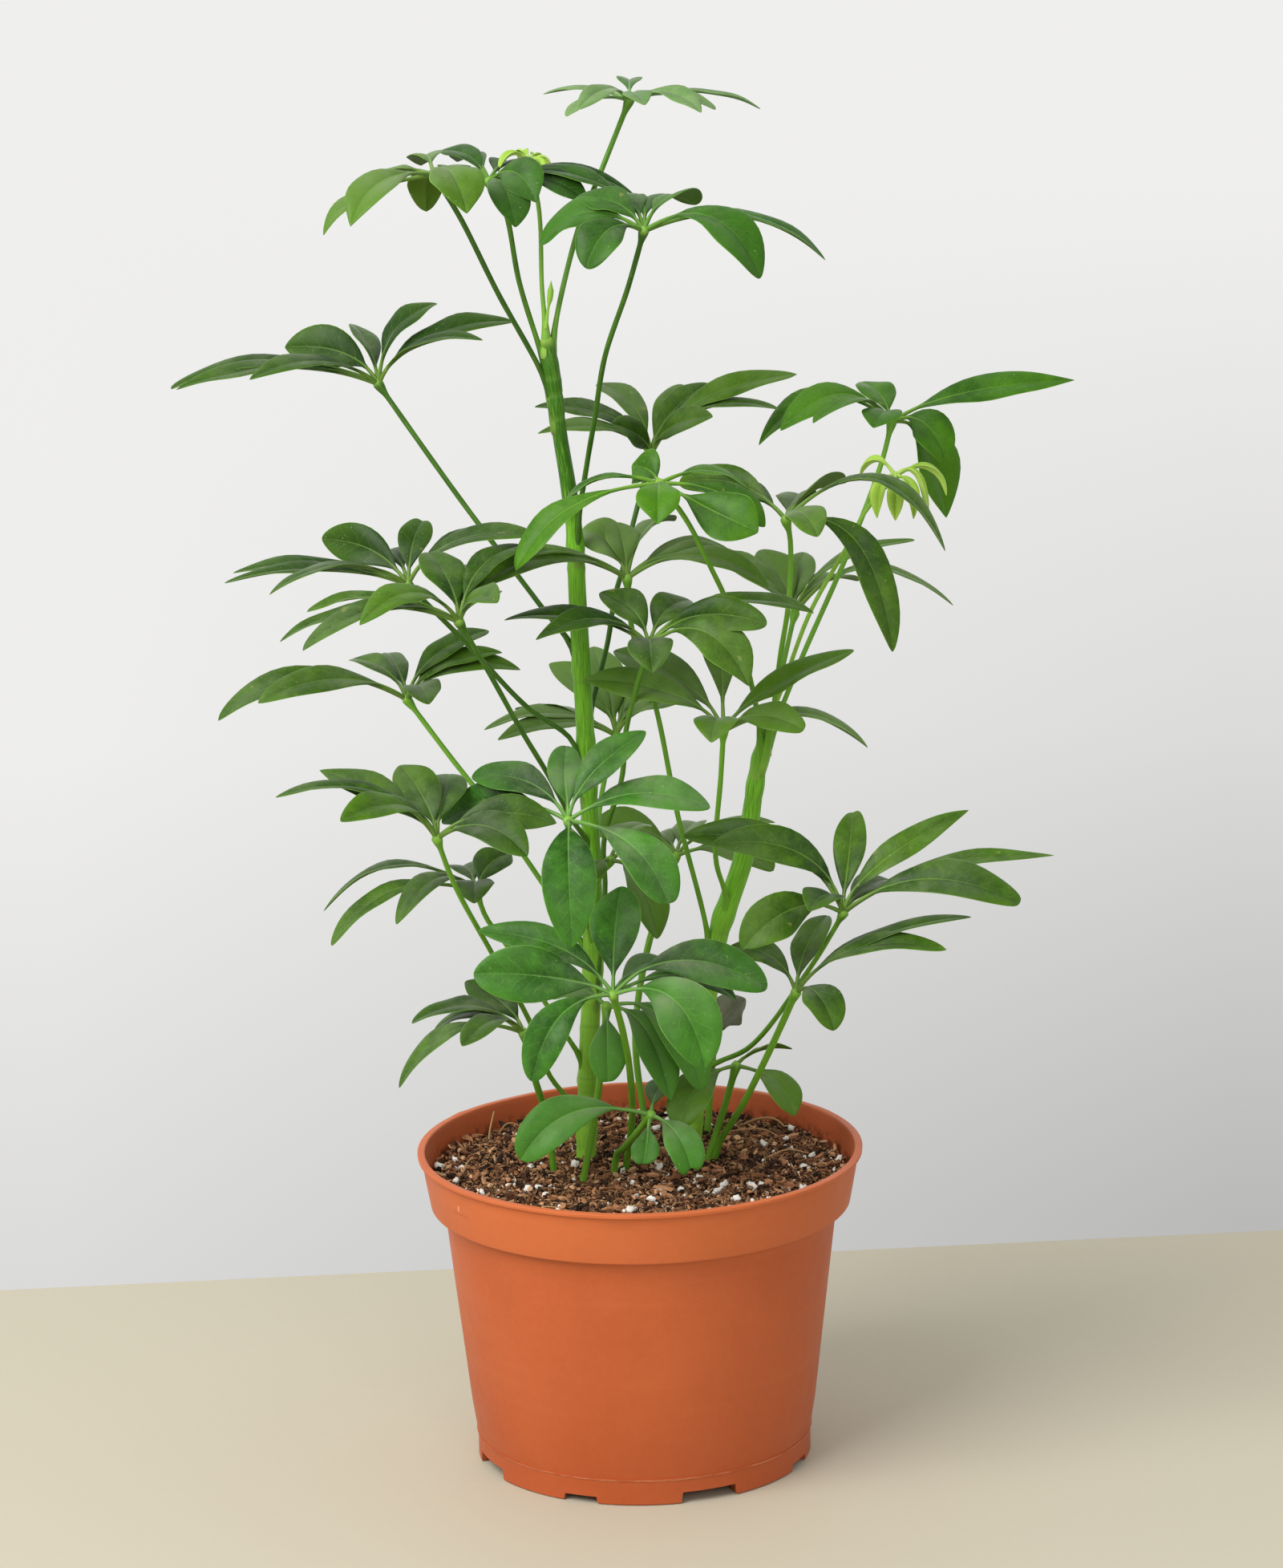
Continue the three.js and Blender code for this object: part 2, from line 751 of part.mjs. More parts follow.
function makePot() {
  let pot = toSolid(revolve(potOutline()));
  for (let i = 0; i < NOTCH_COUNT; i += 1) {
    const notch = i % 2 === 0 ? NOTCH_DEEP : NOTCH_SHALLOW;
    const heading = ((i + 0.5) / NOTCH_COUNT) * 2 * Math.PI - Math.PI / 2;
    const box = new THREE.BoxGeometry(2 * NOTCH_REACH, notch.width, 2 * notch.height);
    const drain = new THREE.CylinderGeometry(DRAIN_R, DRAIN_R, 4 * FLOOR_T, DRAIN_SIDES).rotateX(Math.PI / 2);
    pot = pot.subtract(cutterAt(box, FOOT_R, 0, heading));
    pot = pot.subtract(cutterAt(drain, DRAIN_AT_R, CHANNEL_H + FLOOR_T / 2, heading));
  }
  return toMesh('pot', pot, 'pot');
}

// The mix's cross-section: its underside follows the pot's floor, and its top is still flat.
function mixOutline() {
  const sides = innerWall(POT_WALL + GAP);
  const topR = sides.pop().x - GAP;
  const top = [];
  for (let ring = MIX_RINGS - 1; ring >= 0; ring -= 1) {
    top.push(new THREE.Vector2((topR * ring) / (MIX_RINGS - 1), MIX_Z));
  }
  return [
    new THREE.Vector2(0, FLOOR_T + GAP),
    new THREE.Vector2(DISC_R - STEP_RISE, FLOOR_T + GAP),
    new THREE.Vector2(CHANNEL_R - STEP_RISE, CHANNEL_H + FLOOR_T + GAP),
    new THREE.Vector2(FOOT_R - FOOT_WALL - STEP_RISE, CHANNEL_H + FLOOR_T + GAP),
    ...sides,
    ...top,
  ];
}

function makeMix() {
  const body = revolve(mixOutline());
  const points = body.getAttribute('position');
  for (let i = 0; i < points.count; i += 1) {
    if (points.getZ(i) > MIX_Z - GAP) {
      points.setZ(i, MIX_Z + mixRelief(points.getX(i), points.getY(i)));
    }
  }
  let mix = toSolid(body);
  for (const [foot, next] of Object.values(STEMS)) {
    mix = mix.subtract(holeFor(new THREE.Vector3(...foot), new THREE.Vector3(...next), foot[3]));
  }
  for (const leaf of LEAVES.filter(({ on }) => on === 'mix')) {
    const [foot, surface] = stalkPoints(leaf);
    mix = mix.subtract(holeFor(foot, surface, STALK_MIX_R));
  }
  return toMesh('potting_mix', mix, 'mix');
}

// The plain hole for what stands on its foot in the mix and comes up through the surface.
function holeFor(foot, surface, radius) {
  const size = radius + HOLE_GAP;
  const heading = surface.clone().sub(foot).normalize();
  const length = 2 * (MIX_Z - BURIED_Z);
  const hole = new THREE.CylinderGeometry(size, size, length, HOLE_SIDES);
  const turn = new THREE.Quaternion().setFromUnitVectors(new THREE.Vector3(0, 1, 0), heading);
  const middle = foot.clone().addScaledVector(heading, length / 2 - GAP);
  return toSolid(hole.applyQuaternion(turn).translate(...middle.toArray()));
}

// A round bar along a smooth curve, with a ring of points at each [share of the length, radius].
function bar(curve, rings, sides) {
  const verts = [];
  const faces = [];
  for (const [along, radius] of rings) {
    const centre = curve.getPointAt(along);
    const tangent = curve.getTangentAt(along);
    const side = new THREE.Vector3(0, 1, 0).cross(tangent).normalize();
    const front = tangent.clone().cross(side);
    for (let k = 0; k < sides; k += 1) {
      const turn = (k / sides) * 2 * Math.PI;
      const out = side.clone().multiplyScalar(Math.cos(turn) * radius);
      verts.push(centre.clone().add(out).addScaledVector(front, Math.sin(turn) * radius));
    }
  }
  const last = (rings.length - 1) * sides;
  for (let row = 0; row < last; row += sides) {
    for (let k = 0; k < sides; k += 1) {
      const a = row + k;
      const b = row + ((k + 1) % sides);
      faces.push([a, b, b + sides], [a, b + sides, a + sides]);
    }
  }
  for (let k = 1; k < sides - 1; k += 1) {
    faces.push([0, k + 1, k], [last, last + k, last + k + 1]);
  }
  return geometryFrom(verts, faces);
}

function smoothCurve(points) {
  return new THREE.CatmullRomCurve3(points, false, 'centripetal');
}

function makeStem(name) {
  const route = STEMS[name];
  const curve = smoothCurve(route.map(([x, y, z]) => new THREE.Vector3(x, y, z)));
  const steps = STEM_STEPS * (route.length - 1);
  const rings = [];
  for (let i = 0; i <= steps; i += 1) {
    const z = curve.getPointAt(i / steps).z;
    rings.push([i / steps, stemAt(name, z).radius]);
  }
  return toMesh(name, toSolid(bar(curve, rings, STEM_SIDES)), 'stem');
}

// Radius and axis point of a stem at a height.
function stemAt(name, z) {
  const route = STEMS[name];
  const found = route.findIndex((p) => p[2] >= z);
  const above = found < 0 ? route.length - 1 : Math.max(1, found);
  const low = route[above - 1];
  const high = route[above];
  const part = (z - low[2]) / (high[2] - low[2]);
  const mix = (i) => low[i] + (high[i] - low[i]) * part;
  return { axis: new THREE.Vector3(mix(0), mix(1), z), radius: mix(3) };
}

// The points of a leaf's stalk: it starts clear of its stem's bark, or down in the mix.
function stalkPoints(leaf) {
  const points = [...leaf.bends, leaf.hub].map((p) => new THREE.Vector3(...p));
  const root = new THREE.Vector3(...leaf.root);
  if (leaf.on === 'mix') {
    const slope = root.clone().sub(points[0]).divideScalar(points[0].z - root.z);
    return [root.clone().addScaledVector(slope, root.z - BURIED_Z), root, ...points];
  }
  if (root.z > STEMS[leaf.on].at(-1)[2]) {
    return [root, ...points];
  }
  const { axis, radius } = stemAt(leaf.on, root.z);
  const away = points[0].clone().sub(axis).setZ(0).normalize();
  return [axis.addScaledVector(away, radius + STALK_BASE_R + GAP / 2), ...points];
}

// A leaf's stalk: thicker at its foot, and swollen at the hub that its leaflets spring from.
function makeStalk(leaf) {
  const points = stalkPoints(leaf);
  const heading = points.at(-1).clone().sub(points.at(-2)).setLength(HUB_RISE);
  points.push(points.at(-1).clone().add(heading));
  const curve = smoothCurve(points);
  const length = curve.getLength();
  const inMix = leaf.on === 'mix';
  const foot = (inMix ? STALK_MIX_FOOT : STALK_FOOT) / length;
  const head = 1 - STALK_HEAD / length;
  const steps = leaf.bends.length + 1;
  const rings = [[0, inMix ? STALK_MIX_R : STALK_BASE_R], [foot, inMix ? STALK_MIX_R : STALK_R]];
  for (let i = 1; i <= steps; i += 1) {
    rings.push([foot + ((head - foot) * i) / steps, STALK_R]);
  }
  rings.push([1, HUB_R]);
  return bar(curve, rings, STALK_SIDES);
}

// Half the blade's width along the leaflet, as a share: narrow at the foot, widest past the middle.
function bladeShare(along) {
  const s = (along - LEAFLET_STALK) / (1 - LEAFLET_STALK);
  return s <= 0 ? 0 : Math.sin(Math.PI * s ** BLADE_WIDEST) ** BLADE_FULLNESS;
}

// The arched midrib of a leaflet. One that rises bends near its foot, and one that hangs bends further out
// and arches more.
function midrib(hub, chord, arch) {
  const steep = chord.z / chord.length();
  const at = THREE.MathUtils.clamp(BEND_AT - BEND_SHIFT * steep, ...BEND_RANGE);
  const share = (arch ?? ARCH - ARCH_HANGING * Math.min(0, steep)) / 100;
  const bend = hub.clone().addScaledVector(chord, at);
  bend.z += 2 * share * chord.length();
  return new THREE.QuadraticBezierCurve3(hub, bend, hub.clone().add(chord));
}

// One arched leaflet: a thin stalk that widens into a blade folded up along its midrib.
function leafletGeometry(hub, [x, y, z, width, lean = 0, arch = undefined]) {
  const curve = midrib(hub, new THREE.Vector3(x, y, z), arch);
  const up = new THREE.Vector3(0, 0, 1);
  const light = new THREE.Vector3(0, -1, 0);
  const turn = THREE.MathUtils.degToRad(lean);
  const verts = [];
  for (const along of BLADE_STATIONS) {
    const centre = curve.getPoint(along);
    const tangent = curve.getTangent(along);
    const sky = up.clone().projectOnPlane(tangent).normalize();
    const facing = light.clone().projectOnPlane(tangent);
    const normal = sky.multiplyScalar(Math.cos(turn)).addScaledVector(facing, Math.sin(turn)).normalize();
    const side = normal.clone().cross(tangent);
    const thinnest = along > 0 ? LEAFLET_STALK_R : LEAFLET_ROOT_R;
    const half = Math.max((width / 2) * bladeShare(along), thinnest);
    const fold = along > LEAFLET_STALK ? half * BLADE_FOLD : 0;
    const thick = along > 0 ? BLADE_T / 2 : LEAFLET_ROOT_R;
    verts.push(
      centre.clone().addScaledVector(side, -half).addScaledVector(normal, fold),
      centre.clone().addScaledVector(normal, thick),
      centre.clone().addScaledVector(side, half).addScaledVector(normal, fold),
      centre.clone().addScaledVector(normal, -thick),
    );
  }
  verts.push(curve.v2);
  return geometryFrom(verts, bladeFaces(BLADE_STATIONS.length));
}

// Faces of a loft of four-point sections (left edge, top, right edge, underside) that ends in a point. Both
// faces of the blade are split alike, from each edge to the midrib one section on.
function bladeFaces(count) {
  const faces = [[0, 1, 2], [0, 2, 3]];
  for (let i = 0; i < count - 1; i += 1) {
    const [left, top, right, under] = [0, 1, 2, 3].map((k) => 4 * i + k);
    faces.push([left, top + 4, top], [left, left + 4, top + 4]);
    faces.push([right, top, top + 4], [right, top + 4, right + 4]);
    faces.push([right, under + 4, under], [right, right + 4, under + 4]);
    faces.push([left, under, under + 4], [left, under + 4, left + 4]);
  }
  const last = 4 * (count - 1);
  const point = 4 * count;
  for (let k = 0; k < 4; k += 1) {
    faces.push([last + k, point, last + ((k + 1) % 4)]);
  }
  return faces;
}

function makeLeaf(leaf) {
  const hub = new THREE.Vector3(...leaf.hub);
  let solid = toSolid(makeStalk(leaf));
  for (const leaflet of leaf.leaflets) {
    solid = solid.add(toSolid(leafletGeometry(hub, leaflet)));
  }
  return toMesh(leaf.name, solid, leaf.material);
}

const plant = new THREE.Group();
plant.name = 'potted_umbrella_plant';
plant.add(makePot());
plant.add(makeMix());
for (const name of Object.keys(STEMS)) {
  plant.add(makeStem(name));
}
for (const leaf of LEAVES) {
  plant.add(makeLeaf(leaf));
}

export default plant;
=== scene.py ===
"""The looks of a potted umbrella plant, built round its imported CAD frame. Metres, with tables in millimetres."""
import math
import random
from collections import namedtuple

import bmesh
import bpy
import numpy as np
from mathutils import Matrix, Vector, noise


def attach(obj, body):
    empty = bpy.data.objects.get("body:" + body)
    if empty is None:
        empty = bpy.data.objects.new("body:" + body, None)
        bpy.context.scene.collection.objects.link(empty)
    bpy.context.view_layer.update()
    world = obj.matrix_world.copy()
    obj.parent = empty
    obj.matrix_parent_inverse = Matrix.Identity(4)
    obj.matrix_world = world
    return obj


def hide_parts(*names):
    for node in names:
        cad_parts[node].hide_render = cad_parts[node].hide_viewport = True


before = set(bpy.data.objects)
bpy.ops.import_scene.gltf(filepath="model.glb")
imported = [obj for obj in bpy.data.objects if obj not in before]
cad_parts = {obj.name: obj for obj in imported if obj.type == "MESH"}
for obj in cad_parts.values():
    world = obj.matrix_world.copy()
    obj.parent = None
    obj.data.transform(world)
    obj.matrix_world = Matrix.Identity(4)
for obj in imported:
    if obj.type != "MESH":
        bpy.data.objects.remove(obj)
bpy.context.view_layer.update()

MM = 0.001
TAU = 2 * math.pi

# The pot. The sizes are the solid's, apart from the collar's lower edge, which is crisp and has a flat underside
# as in the photograph.
RIM_R = 77.5
POT_H = 110.8
POT_WALL = 1.5
FOOT_R = 58.4
FOOT_H = 8.5
FOOT_WALL = 1.6
STEP_RISE = 1
WALL_FOOT_R = 59.1
WALL_TOP_R = 68.5
WALL_TOP_Z = 91.5
WALL_STEPS = 8
SHOULDER = ((0.85, 0.02), (0.93, 0.18), (0.98, 0.5), (1, 1))
COLLAR_R = 73.2
COLLAR_Z = 92.3
COLLAR_TOP_R = 75.2
COLLAR_TOP_Z = 103.5
LIP_OUT = 0.7
DISC_R = 40
CHANNEL_R = 43
CHANNEL_H = 4
FLOOR_T = 1.6
NOTCH_COUNT = 8
NOTCH_DEEP = (20, 4)
NOTCH_SHALLOW = (12, 2.5)
NOTCH_REACH = 5
NOTCH_FLARE = 0.6
RIB_T = 1.6
DRAIN_R = 4.5
DRAIN_AT_R = 49.5
DRAIN_SIDES = 32
POT_SIDES = 192
# The stamped line and the scratch under the lip at the front left, in metres across and up
STAMP_AT = (-0.0615, 0.1004)
SCRATCH_AT = (-0.0622, 0.1025)

# The potting mix
GAP = 0.3
MIX_Z = 101
MIX_R = COLLAR_TOP_R - POT_WALL - 0.45
MIX_RINGS = 74
MIX_SIDES = 300
MOUND = (34, 30, 30, 1.6)
SWELL = (0.7, 0.12)
CLODS = (0.5, 0.33)
BURIED_Z = 86
CRUMBS = 9400
SLIVERS = 19000
PERLITE = 900
FIBRES = 2200

# Stems, leaf stalks and leaflets
STALK_R = 1.05
STALK_BASE_R = 1.9
STALK_MIX_R = 1.6
SHOOT_BASE_R = 2.1
HUB_R = 1.9
HUB_REACH = 7
STALK_SIDES = 12
STEM_SIDES = 24
LEAFLET_STALK = 0.2
LEAFLET_STALK_R = 0.72
BLADE_FOLD = 0.22
ARCH = 16
ARCH_HANGING = 12
BEND_AT = 0.45
BEND_SHIFT = 0.6
BEND_RANGE = (0.1, 0.75)
BLADE_ACROSS = (0.0, 0.05, 0.16, 0.36, 0.58, 0.78, 0.92, 0.985, 1.0)
BLADE_ROWS = 19
STALK_ROWS = 5

# The axis of each stem, as points with a radius
STEMS = {
    "stem_main": [
        (-19, 19, BURIED_Z, 3.6), (-19, 19, 99, 3.6), (-17, 18, 143, 3.4), (-15, 17, 178, 3.3),
        (-15, 15, 216, 3.2), (-16, 14, 245, 3.1), (-17, 12, 274, 3.1), (-18, 10, 303, 3),
        (-19, 8, 331, 2.8), (-23, 6, 362, 2.6), (-25, 5, 381, 2.6), (-27, 4, 396, 2.3),
    ],
    "stem_second": [
        (18, 27, BURIED_Z, 3.6), (18, 27, 99, 3.6), (21, 26, 131, 3.8), (23, 26, 150, 4.4),
        (29, 25, 181, 4), (38, 24, 208, 4.1), (43, 22, 239, 3.8), (46, 21, 253, 3.6),
    ],
}
# Where old leaves left rings on the bark, as heights; and where a leaf's sheath still stands out from it, as
# (height, heading of the bar's side, how far, over what length)
SCARS = {"stem_main": (114, 131, 150, 196, 226, 262, 316), "stem_second": (112, 146)}
SHEATHS = {
    "stem_main": ((139, 4.2, 0.5, 5), (206, 1.2, 0.4, 6), (340, 4.0, 0.4, 6), (385, 4.4, 0.5, 4)),
    "stem_second": ((146, 4.6, 0.8, 5), (190, 5.3, 0.4, 5), (226, 4.2, 0.3, 7)),
}
# Steps along a stem, as (height, over what length, how much): lighter below a height, partly the stem's own colour and
# partly painted light that lifts the parts the leaves keep in shade; and slimmer above it
STEM_TONE_AND_PAINTED_LIGHT = ((352, 35, 0.6), (240, 60, 0.2), (178, 30, 0.4))
STEM_SLIM = {"stem_main": (), "stem_second": ((120, 50, 0.13), (212, 25, 0.1))}
STEM_END = ((-1, 0.35), (-2, 0.75), (-3, 0.95))
BUD_PATH = [(-27, 3.4, 398), (-26, 3, 405), (-25.2, 2.8, 409.5), (-24.8, 2.7, 414.5)]
BUD_SHAPE = ((0, 0.3, 0.5, 0.62, 0.8, 0.92, 1), (0.8, 0.5, 0.45, 1.0, 1.05, 0.4, 0.1))

# Shapes of leaflets. fold: how far the margins rise; wave: how far they wave; tip: range of the tip's roundness,
# pointed at 1; notch: share of leaflets with a notched tip
LOOKS = {
    "leaf": dict(fold=1.0, wave=1.0, tip=(0.46, 0.86), notch=0.16),
    "front": dict(fold=1.0, wave=1.0, tip=(0.43, 0.65), notch=0.16),
    "fresh": dict(fold=0.9, wave=0.8, tip=(0.7, 1.0), notch=0.05),
    "young": dict(fold=3.2, wave=0.3, tip=(0.6, 0.8), notch=0.0),
    "dried": dict(fold=2.2, wave=3.5, tip=(0.6, 0.8), notch=0.0),
}
# Leaflets whose tip the photograph shows well: [roundness, notch, lop, degrees turned to the front]
SPECIAL = {
    ("leaf_basal_front", 0): (0.42, -0.2, 0.0, 0), ("leaf_basal_front", 1): (0.5, 0.6, 0.1, 0),
    ("leaf_basal_front", 2): (0.34, 2.4, 0.15, 40), ("leaf_basal_right", 0): (0.42, 0.3, 0.1, 0),
}
# on: what the leaf grows from; look: its leaflets' shape; green: its colour; shade: how much lighter (above 0) or
# deeper (below 0) it is painted than its neighbours, partly its own tone and partly painted light and shade for how
# brightly it is lit; path: its stalk from the root to the hub; leaflets: each tip's place from the hub, the width, the
# lean in degrees and, where it isn't the plain one, the arch in hundredths of length
Leaf = namedtuple("Leaf", "on look green shade path leaflets")
LEAVES = {
    "leaf_top": Leaf("stem_main", "leaf", "pale", 0, [(-26, 4, 388), (-15, 11, 432), (-9, 13, 446), (2.5, 13, 473.5)], [
        (-29, 12, 1.5, 7, 4, 9), (-22, -14, -4, 7.5, 9, 14), (-16.5, -26, 1.5, 8, 33), (5, -24, 1.5, 9.5, 16, 13),
        (23.5, -24, -1, 10, 12, 13), (29.5, -10, -3, 8.5, 7, 13), (44.5, 10, -4, 8, -2, 9), (0.5, 30, 2.5, 9, 0, 11)]),
    "leaf_crown_left": Leaf("stem_main", "fresh", "leaf", 0.3, [
        (-25, 5, 374), (-43, -2, 412), (-55, -7, 438.5), (-63, -10, 452.5)], [
        (-37.5, -14, -16.5, 10, 7, 12), (-27, -30, -11, 14.5, 30, 16), (-22.5, 10, -4, 12, -3, 14),
        (-5.5, 34, -1.5, 12.5, 8, 15), (8.5, 24, -5, 11, -10, 14), (11.5, -30, -8, 18.5, 13, 23),
        (-3.5, 22, -16, 12.5, -3, 27)]),
    "leaf_crown_back": Leaf("stem_main", "fresh", "crown", -0.1, [
        (-26, 4, 382), (-35.5, 5, 413.5), (-40, 4, 439), (-45, 4, 448)], [
        (9, -26, -11, 15.5, -24, 23), (16, -20, -4, 15, 58, 24), (33.5, -14, -5.5, 14, 21, 14),
        (43, -8, -3.5, 14, 14, 12), (49, 4, -5.5, 11, 21, 12), (-11, 28, 4, 12.5, -3), (10, 31, 0, 12, 6, 13),
        (-17, 25, 7.5, 11, 13, 12)]),
    "shoot_crown": Leaf("stem_main", "young", "young", 0, [
        (-27, 4, 397), (-28, 6, 412), (-28.5, 13, 436.5), (-31.5, 17, 453)], [
        (-10.5, -5, -2, 4, 6, 34), (-3.5, 7, -0.5, 4, 2, 35), (3, 7, -2, 4, 6, 34), (7, 1, -3, 4, -4, 36),
        (4.5, -7, -4, 4, 1, 35), (-2, -8, -4, 4, 0, 35)]),
    "leaf_crown_right": Leaf("stem_main", "leaf", "crown", 0, [
        (-19, 8, 324), (-14, 1, 351.5), (-11, -9, 369), (-7, -20, 392.5), (1, -31, 417), (6.5, -40, 437)], [
        (-34.5, 8, -4, 15, 33, 22), (-19, -16, -9.5, 16, 30, 29), (-22.5, 14, 9.5, 13.5, 34), (-7.5, 34, 4.5, 12, 0),
        (3, 36, 5.5, 13, -4, 14), (17.5, 26, 5, 13.5, -20, 22), (38, -14, -13, 17.5, 27, 30),
        (59.5, 4, -10.5, 13, 0, 16)]),
    "leaf_high_left": Leaf("stem_main", "leaf", "leaf", -0.25, [
        (-17, 11, 281), (-31.5, 16, 301), (-57.5, 23, 336), (-85, 30, 375.5)], [
        (-72, -6, 2, 13, 12, 11), (-67, -20, 3, 12, 6, 9), (-42, -30, 9, 11.5, 19, 12), (-32, 8, 12, 16.5, 66, 18),
        (-10, 30, 16, 11, -42), (20, 12, 26, 13.5, 1, 28), (46, 2, 22, 14, 23), (36, -18, 18.5, 12.5, 6)]),
    "leaf_left_upper": Leaf("stem_main", "leaf", "leaf", -0.3, [
        (-16, 14, 239), (-21.5, 10, 254.5), (-36, 5, 267), (-56.5, -3, 292), (-75, -12, 314)], [
        (-59, 2, 5, 11.5, 8, 9), (-60.5, -14, 5, 12, 6, 8), (-45, -28, 5, 12, -2, 14), (-30, 20, 12.5, 14, 69, 12),
        (-9, 34, 4, 12, -1), (5, 20, 19.5, 11.5, 31, 17), (38, 8, 18, 12, 13), (44, -12, 20, 11, 30)]),
    "leaf_left_inner": Leaf("stem_main", "leaf", "leaf", 0.15, [
        (-15, 15, 212), (-21.5, 4, 227.5), (-29, -8, 246), (-37.5, -20, 264.5), (-49, -34, 290.5), (-57, -45, 308)], [
        (-52.5, 6, 4, 11.5, 0, 12), (-58.5, -12, -2.5, 12, 2, 13), (-52, -26, -3, 12, 18), (-31, -32, 8, 12, 30, 20),
        (-10.5, 22, 20, 14.5, 2, 20), (1.5, 32, 13.5, 13, 0), (12.5, 18, 6, 13, 2), (20.5, 28, 20.5, 11, 20, 20),
        (13, -24, 12, 12.5, 49)]),
    "leaf_left_middle": Leaf("stem_main", "leaf", "leaf", 0.15, [
        (-15, 17, 172), (-30.5, 19, 198), (-52.5, 24, 230.5), (-63, 27, 244), (-78, 30, 264.5)], [
        (-67, -8, -4, 13, 27), (-50.5, -20, 5.5, 13.5, 29, 14), (-20.5, 26, 9, 11.5, 7), (-8, 34, 10, 9.5, 4, 12),
        (8.5, -28, 5.5, 13.5, 10, 17), (27.5, 18, 21, 12.5, 11, 18), (32.5, 6, 15, 12, 22), (39.5, 4, 10, 10.5, 31)]),
    "leaf_middle_front": Leaf("stem_second", "leaf", "leaf", 0.3, [
        (29, 25, 172), (15, 17, 225.5), (8, 10, 265.5), (0.5, 5, 293), (-1, 2, 312)], [
        (-59.5, -24, 4.5, 11, 13), (-52.5, -34, 5.5, 12, 30, 12), (-15.5, 24, 13.5, 15, 44),
        (-3, 17, 16.5, 11.5, -1, 20), (16.5, 28, 15.5, 13.5, -38, 22), (35, 26, 5, 10, 30, 12), (40.5, 16, 2, 11, 30),
        (48.5, 6, -4, 10.5, 30, 19)]),
    "leaf_middle_low": Leaf("stem_main", "leaf", "leaf", -0.25, [
        (-16, 17, 164), (-10.5, 12, 200), (-10.5, 9, 218.5), (-4, 2, 242), (-2, -6, 262), (6, -16, 292.5)], [
        (-48, 2, 9.5, 13, 14, 11), (-37.5, -12, 6.5, 12, 22, 20), (1, -26, -3, 15.5, 7, 21), (56, 0, 10.5, 12, 12, 19),
        (39.5, -12, 9.5, 12.5, 63), (33.5, -20, -9.5, 17.5, 47, 31), (-16, 12, 16, 14.5, 33, 22),
        (14.5, 28, 9.5, 14.5, 35)]),
    "leaf_behind_main": Leaf("stem_main", "leaf", "leaf", 0.3, [(-15, 16, 190), (-11.5, 46, 224.5), (-6, 70, 241)], [
        (-46.5, -4, 4.5, 12.5, 11, 14), (-41, -14, 3.5, 12, 16, 12), (-35.5, 14, 7.5, 15.5, -21, 9),
        (-23, 20, 22, 12.5, 45, 19), (-7.5, 28, 27, 16, 1), (18, 28, 22, 15, 0), (29, 2, 11.5, 12, 13, 19),
        (26, 14, 18, 12, 30)]),
    "leaf_centre_front": Leaf("stem_main", "front", "front", -0.35, [
        (-15, 17, 178), (-22, -16, 208), (-22, -52, 241)], [
        (-0.5, 26, 19.5, 12, 19), (26, 12, 27.5, 13.5, 34), (47, -2, 5.5, 15.5, 32, 12),
        (33.5, -26, -23.5, 17.5, 30, 20), (1, -28, -35.5, 18.5, -8, 34), (-32.5, 16, 12.5, 13, 46, 17),
        (-43.5, 22, -5, 13.5, 52, 14)]),
    "leaf_back_middle": Leaf("stem_main", "leaf", "leaf", -0.25, [
        (-16, 13, 254), (-8, 27, 285), (-5.5, 32, 299), (-2.5, 38, 308), (0.5, 44, 319.5), (8, 55, 344.5)], [
        (-40, 4, 18, 11.5, 24), (-38.5, -12, 11.5, 11.5, 13, 15), (-18, 20, 23, 12.5, 10, 22),
        (-13, -16, 14.5, 11.5, 58, 12), (12, 30, 20.5, 11, 12, 13), (22, 22, 22, 12, 24), (52.5, 6, 27, 11.5, 30, 18),
        (44, -8, 17.5, 12, 0, 20), (20.5, -20, 17.5, 12, 50)]),
    "leaf_fresh_front": Leaf("stem_second", "fresh", "fresh", -0.15, [
        (45, 21, 246), (41, 13, 272.5), (34, 4, 300), (27, -6, 318), (19.5, -12, 334.5), (10.5, -18, 348.5)], [
        (-36.5, 4, -12, 12, 5, 21), (-49, -12, -27.5, 12.5, 31, 18), (-1, -24, -8, 15, 4), (-9, 10, 4.5, 14, 70, 13),
        (30.5, 14, -5.5, 11, 12, 16), (35.5, 0, -15, 14, 27, 14), (32, -18, -13, 19, 64, 0)]),
    "leaf_right_front": Leaf("stem_second", "leaf", "leaf", 0.2, [
        (46, 21, 250), (51, 10, 282), (54, 4, 303), (54.5, -3, 326), (53, -6, 333)], [
        (-36, 20, 10, 12.5, 58, 14), (-25, 24, 7, 11.5, 16, 11), (10, -22, -0.5, 13.5, 30, 21), (5.5, 26, 4, 14, 6, 9),
        (21, 24, 8, 13, -43, 13), (54.5, -5, -10, 14, 4, 34), (35.5, -12, -43, 13.5, 57, 36)]),
    "leaf_right_top": Leaf("stem_second", "fresh", "fresh", -0.15, [
        (46, 21, 251), (58.5, 28, 276.5), (76, 43, 312), (88, 54, 340.5), (92, 60, 354)], [
        (-47, -6, -5.5, 13.5, 25, 26), (-39.5, -18, 1.5, 13, 40, 25), (-28, -24, 5, 13, 4, 21), (-7.5, -26, 3, 14, 6),
        (-9.5, 24, 10.5, 13.5, 17, 12), (63, 0, 14, 14.5, 30, 7), (18.5, -10, -13.5, 16.5, 47, 36),
        (20.5, 14, -36.5, 20.5, 58, 32)]),
    "shoot_second": Leaf("stem_second", "young", "young", 0, [
        (46, 21, 253.5), (51.5, 20, 268), (62, 18, 296.5), (75.5, 15, 321), (80.5, 15, 331), (91, 14, 343.5)], [
        (-6.5, -8, -12, 6, 10, 40), (-0.5, -10, -12.5, 6, 0, 35), (6, -6, -13.5, 6, 1, 40),
        (11, -2, -15.5, 5.5, 2, 55), (18, 5, -7, 5, 7, 32), (-12, 6, -0.5, 5, 12, 40)]),
    "leaf_right_back": Leaf("stem_second", "leaf", "leaf", 0.8, [(42, 22, 236), (50.5, 48, 260), (58, 80, 282)], [
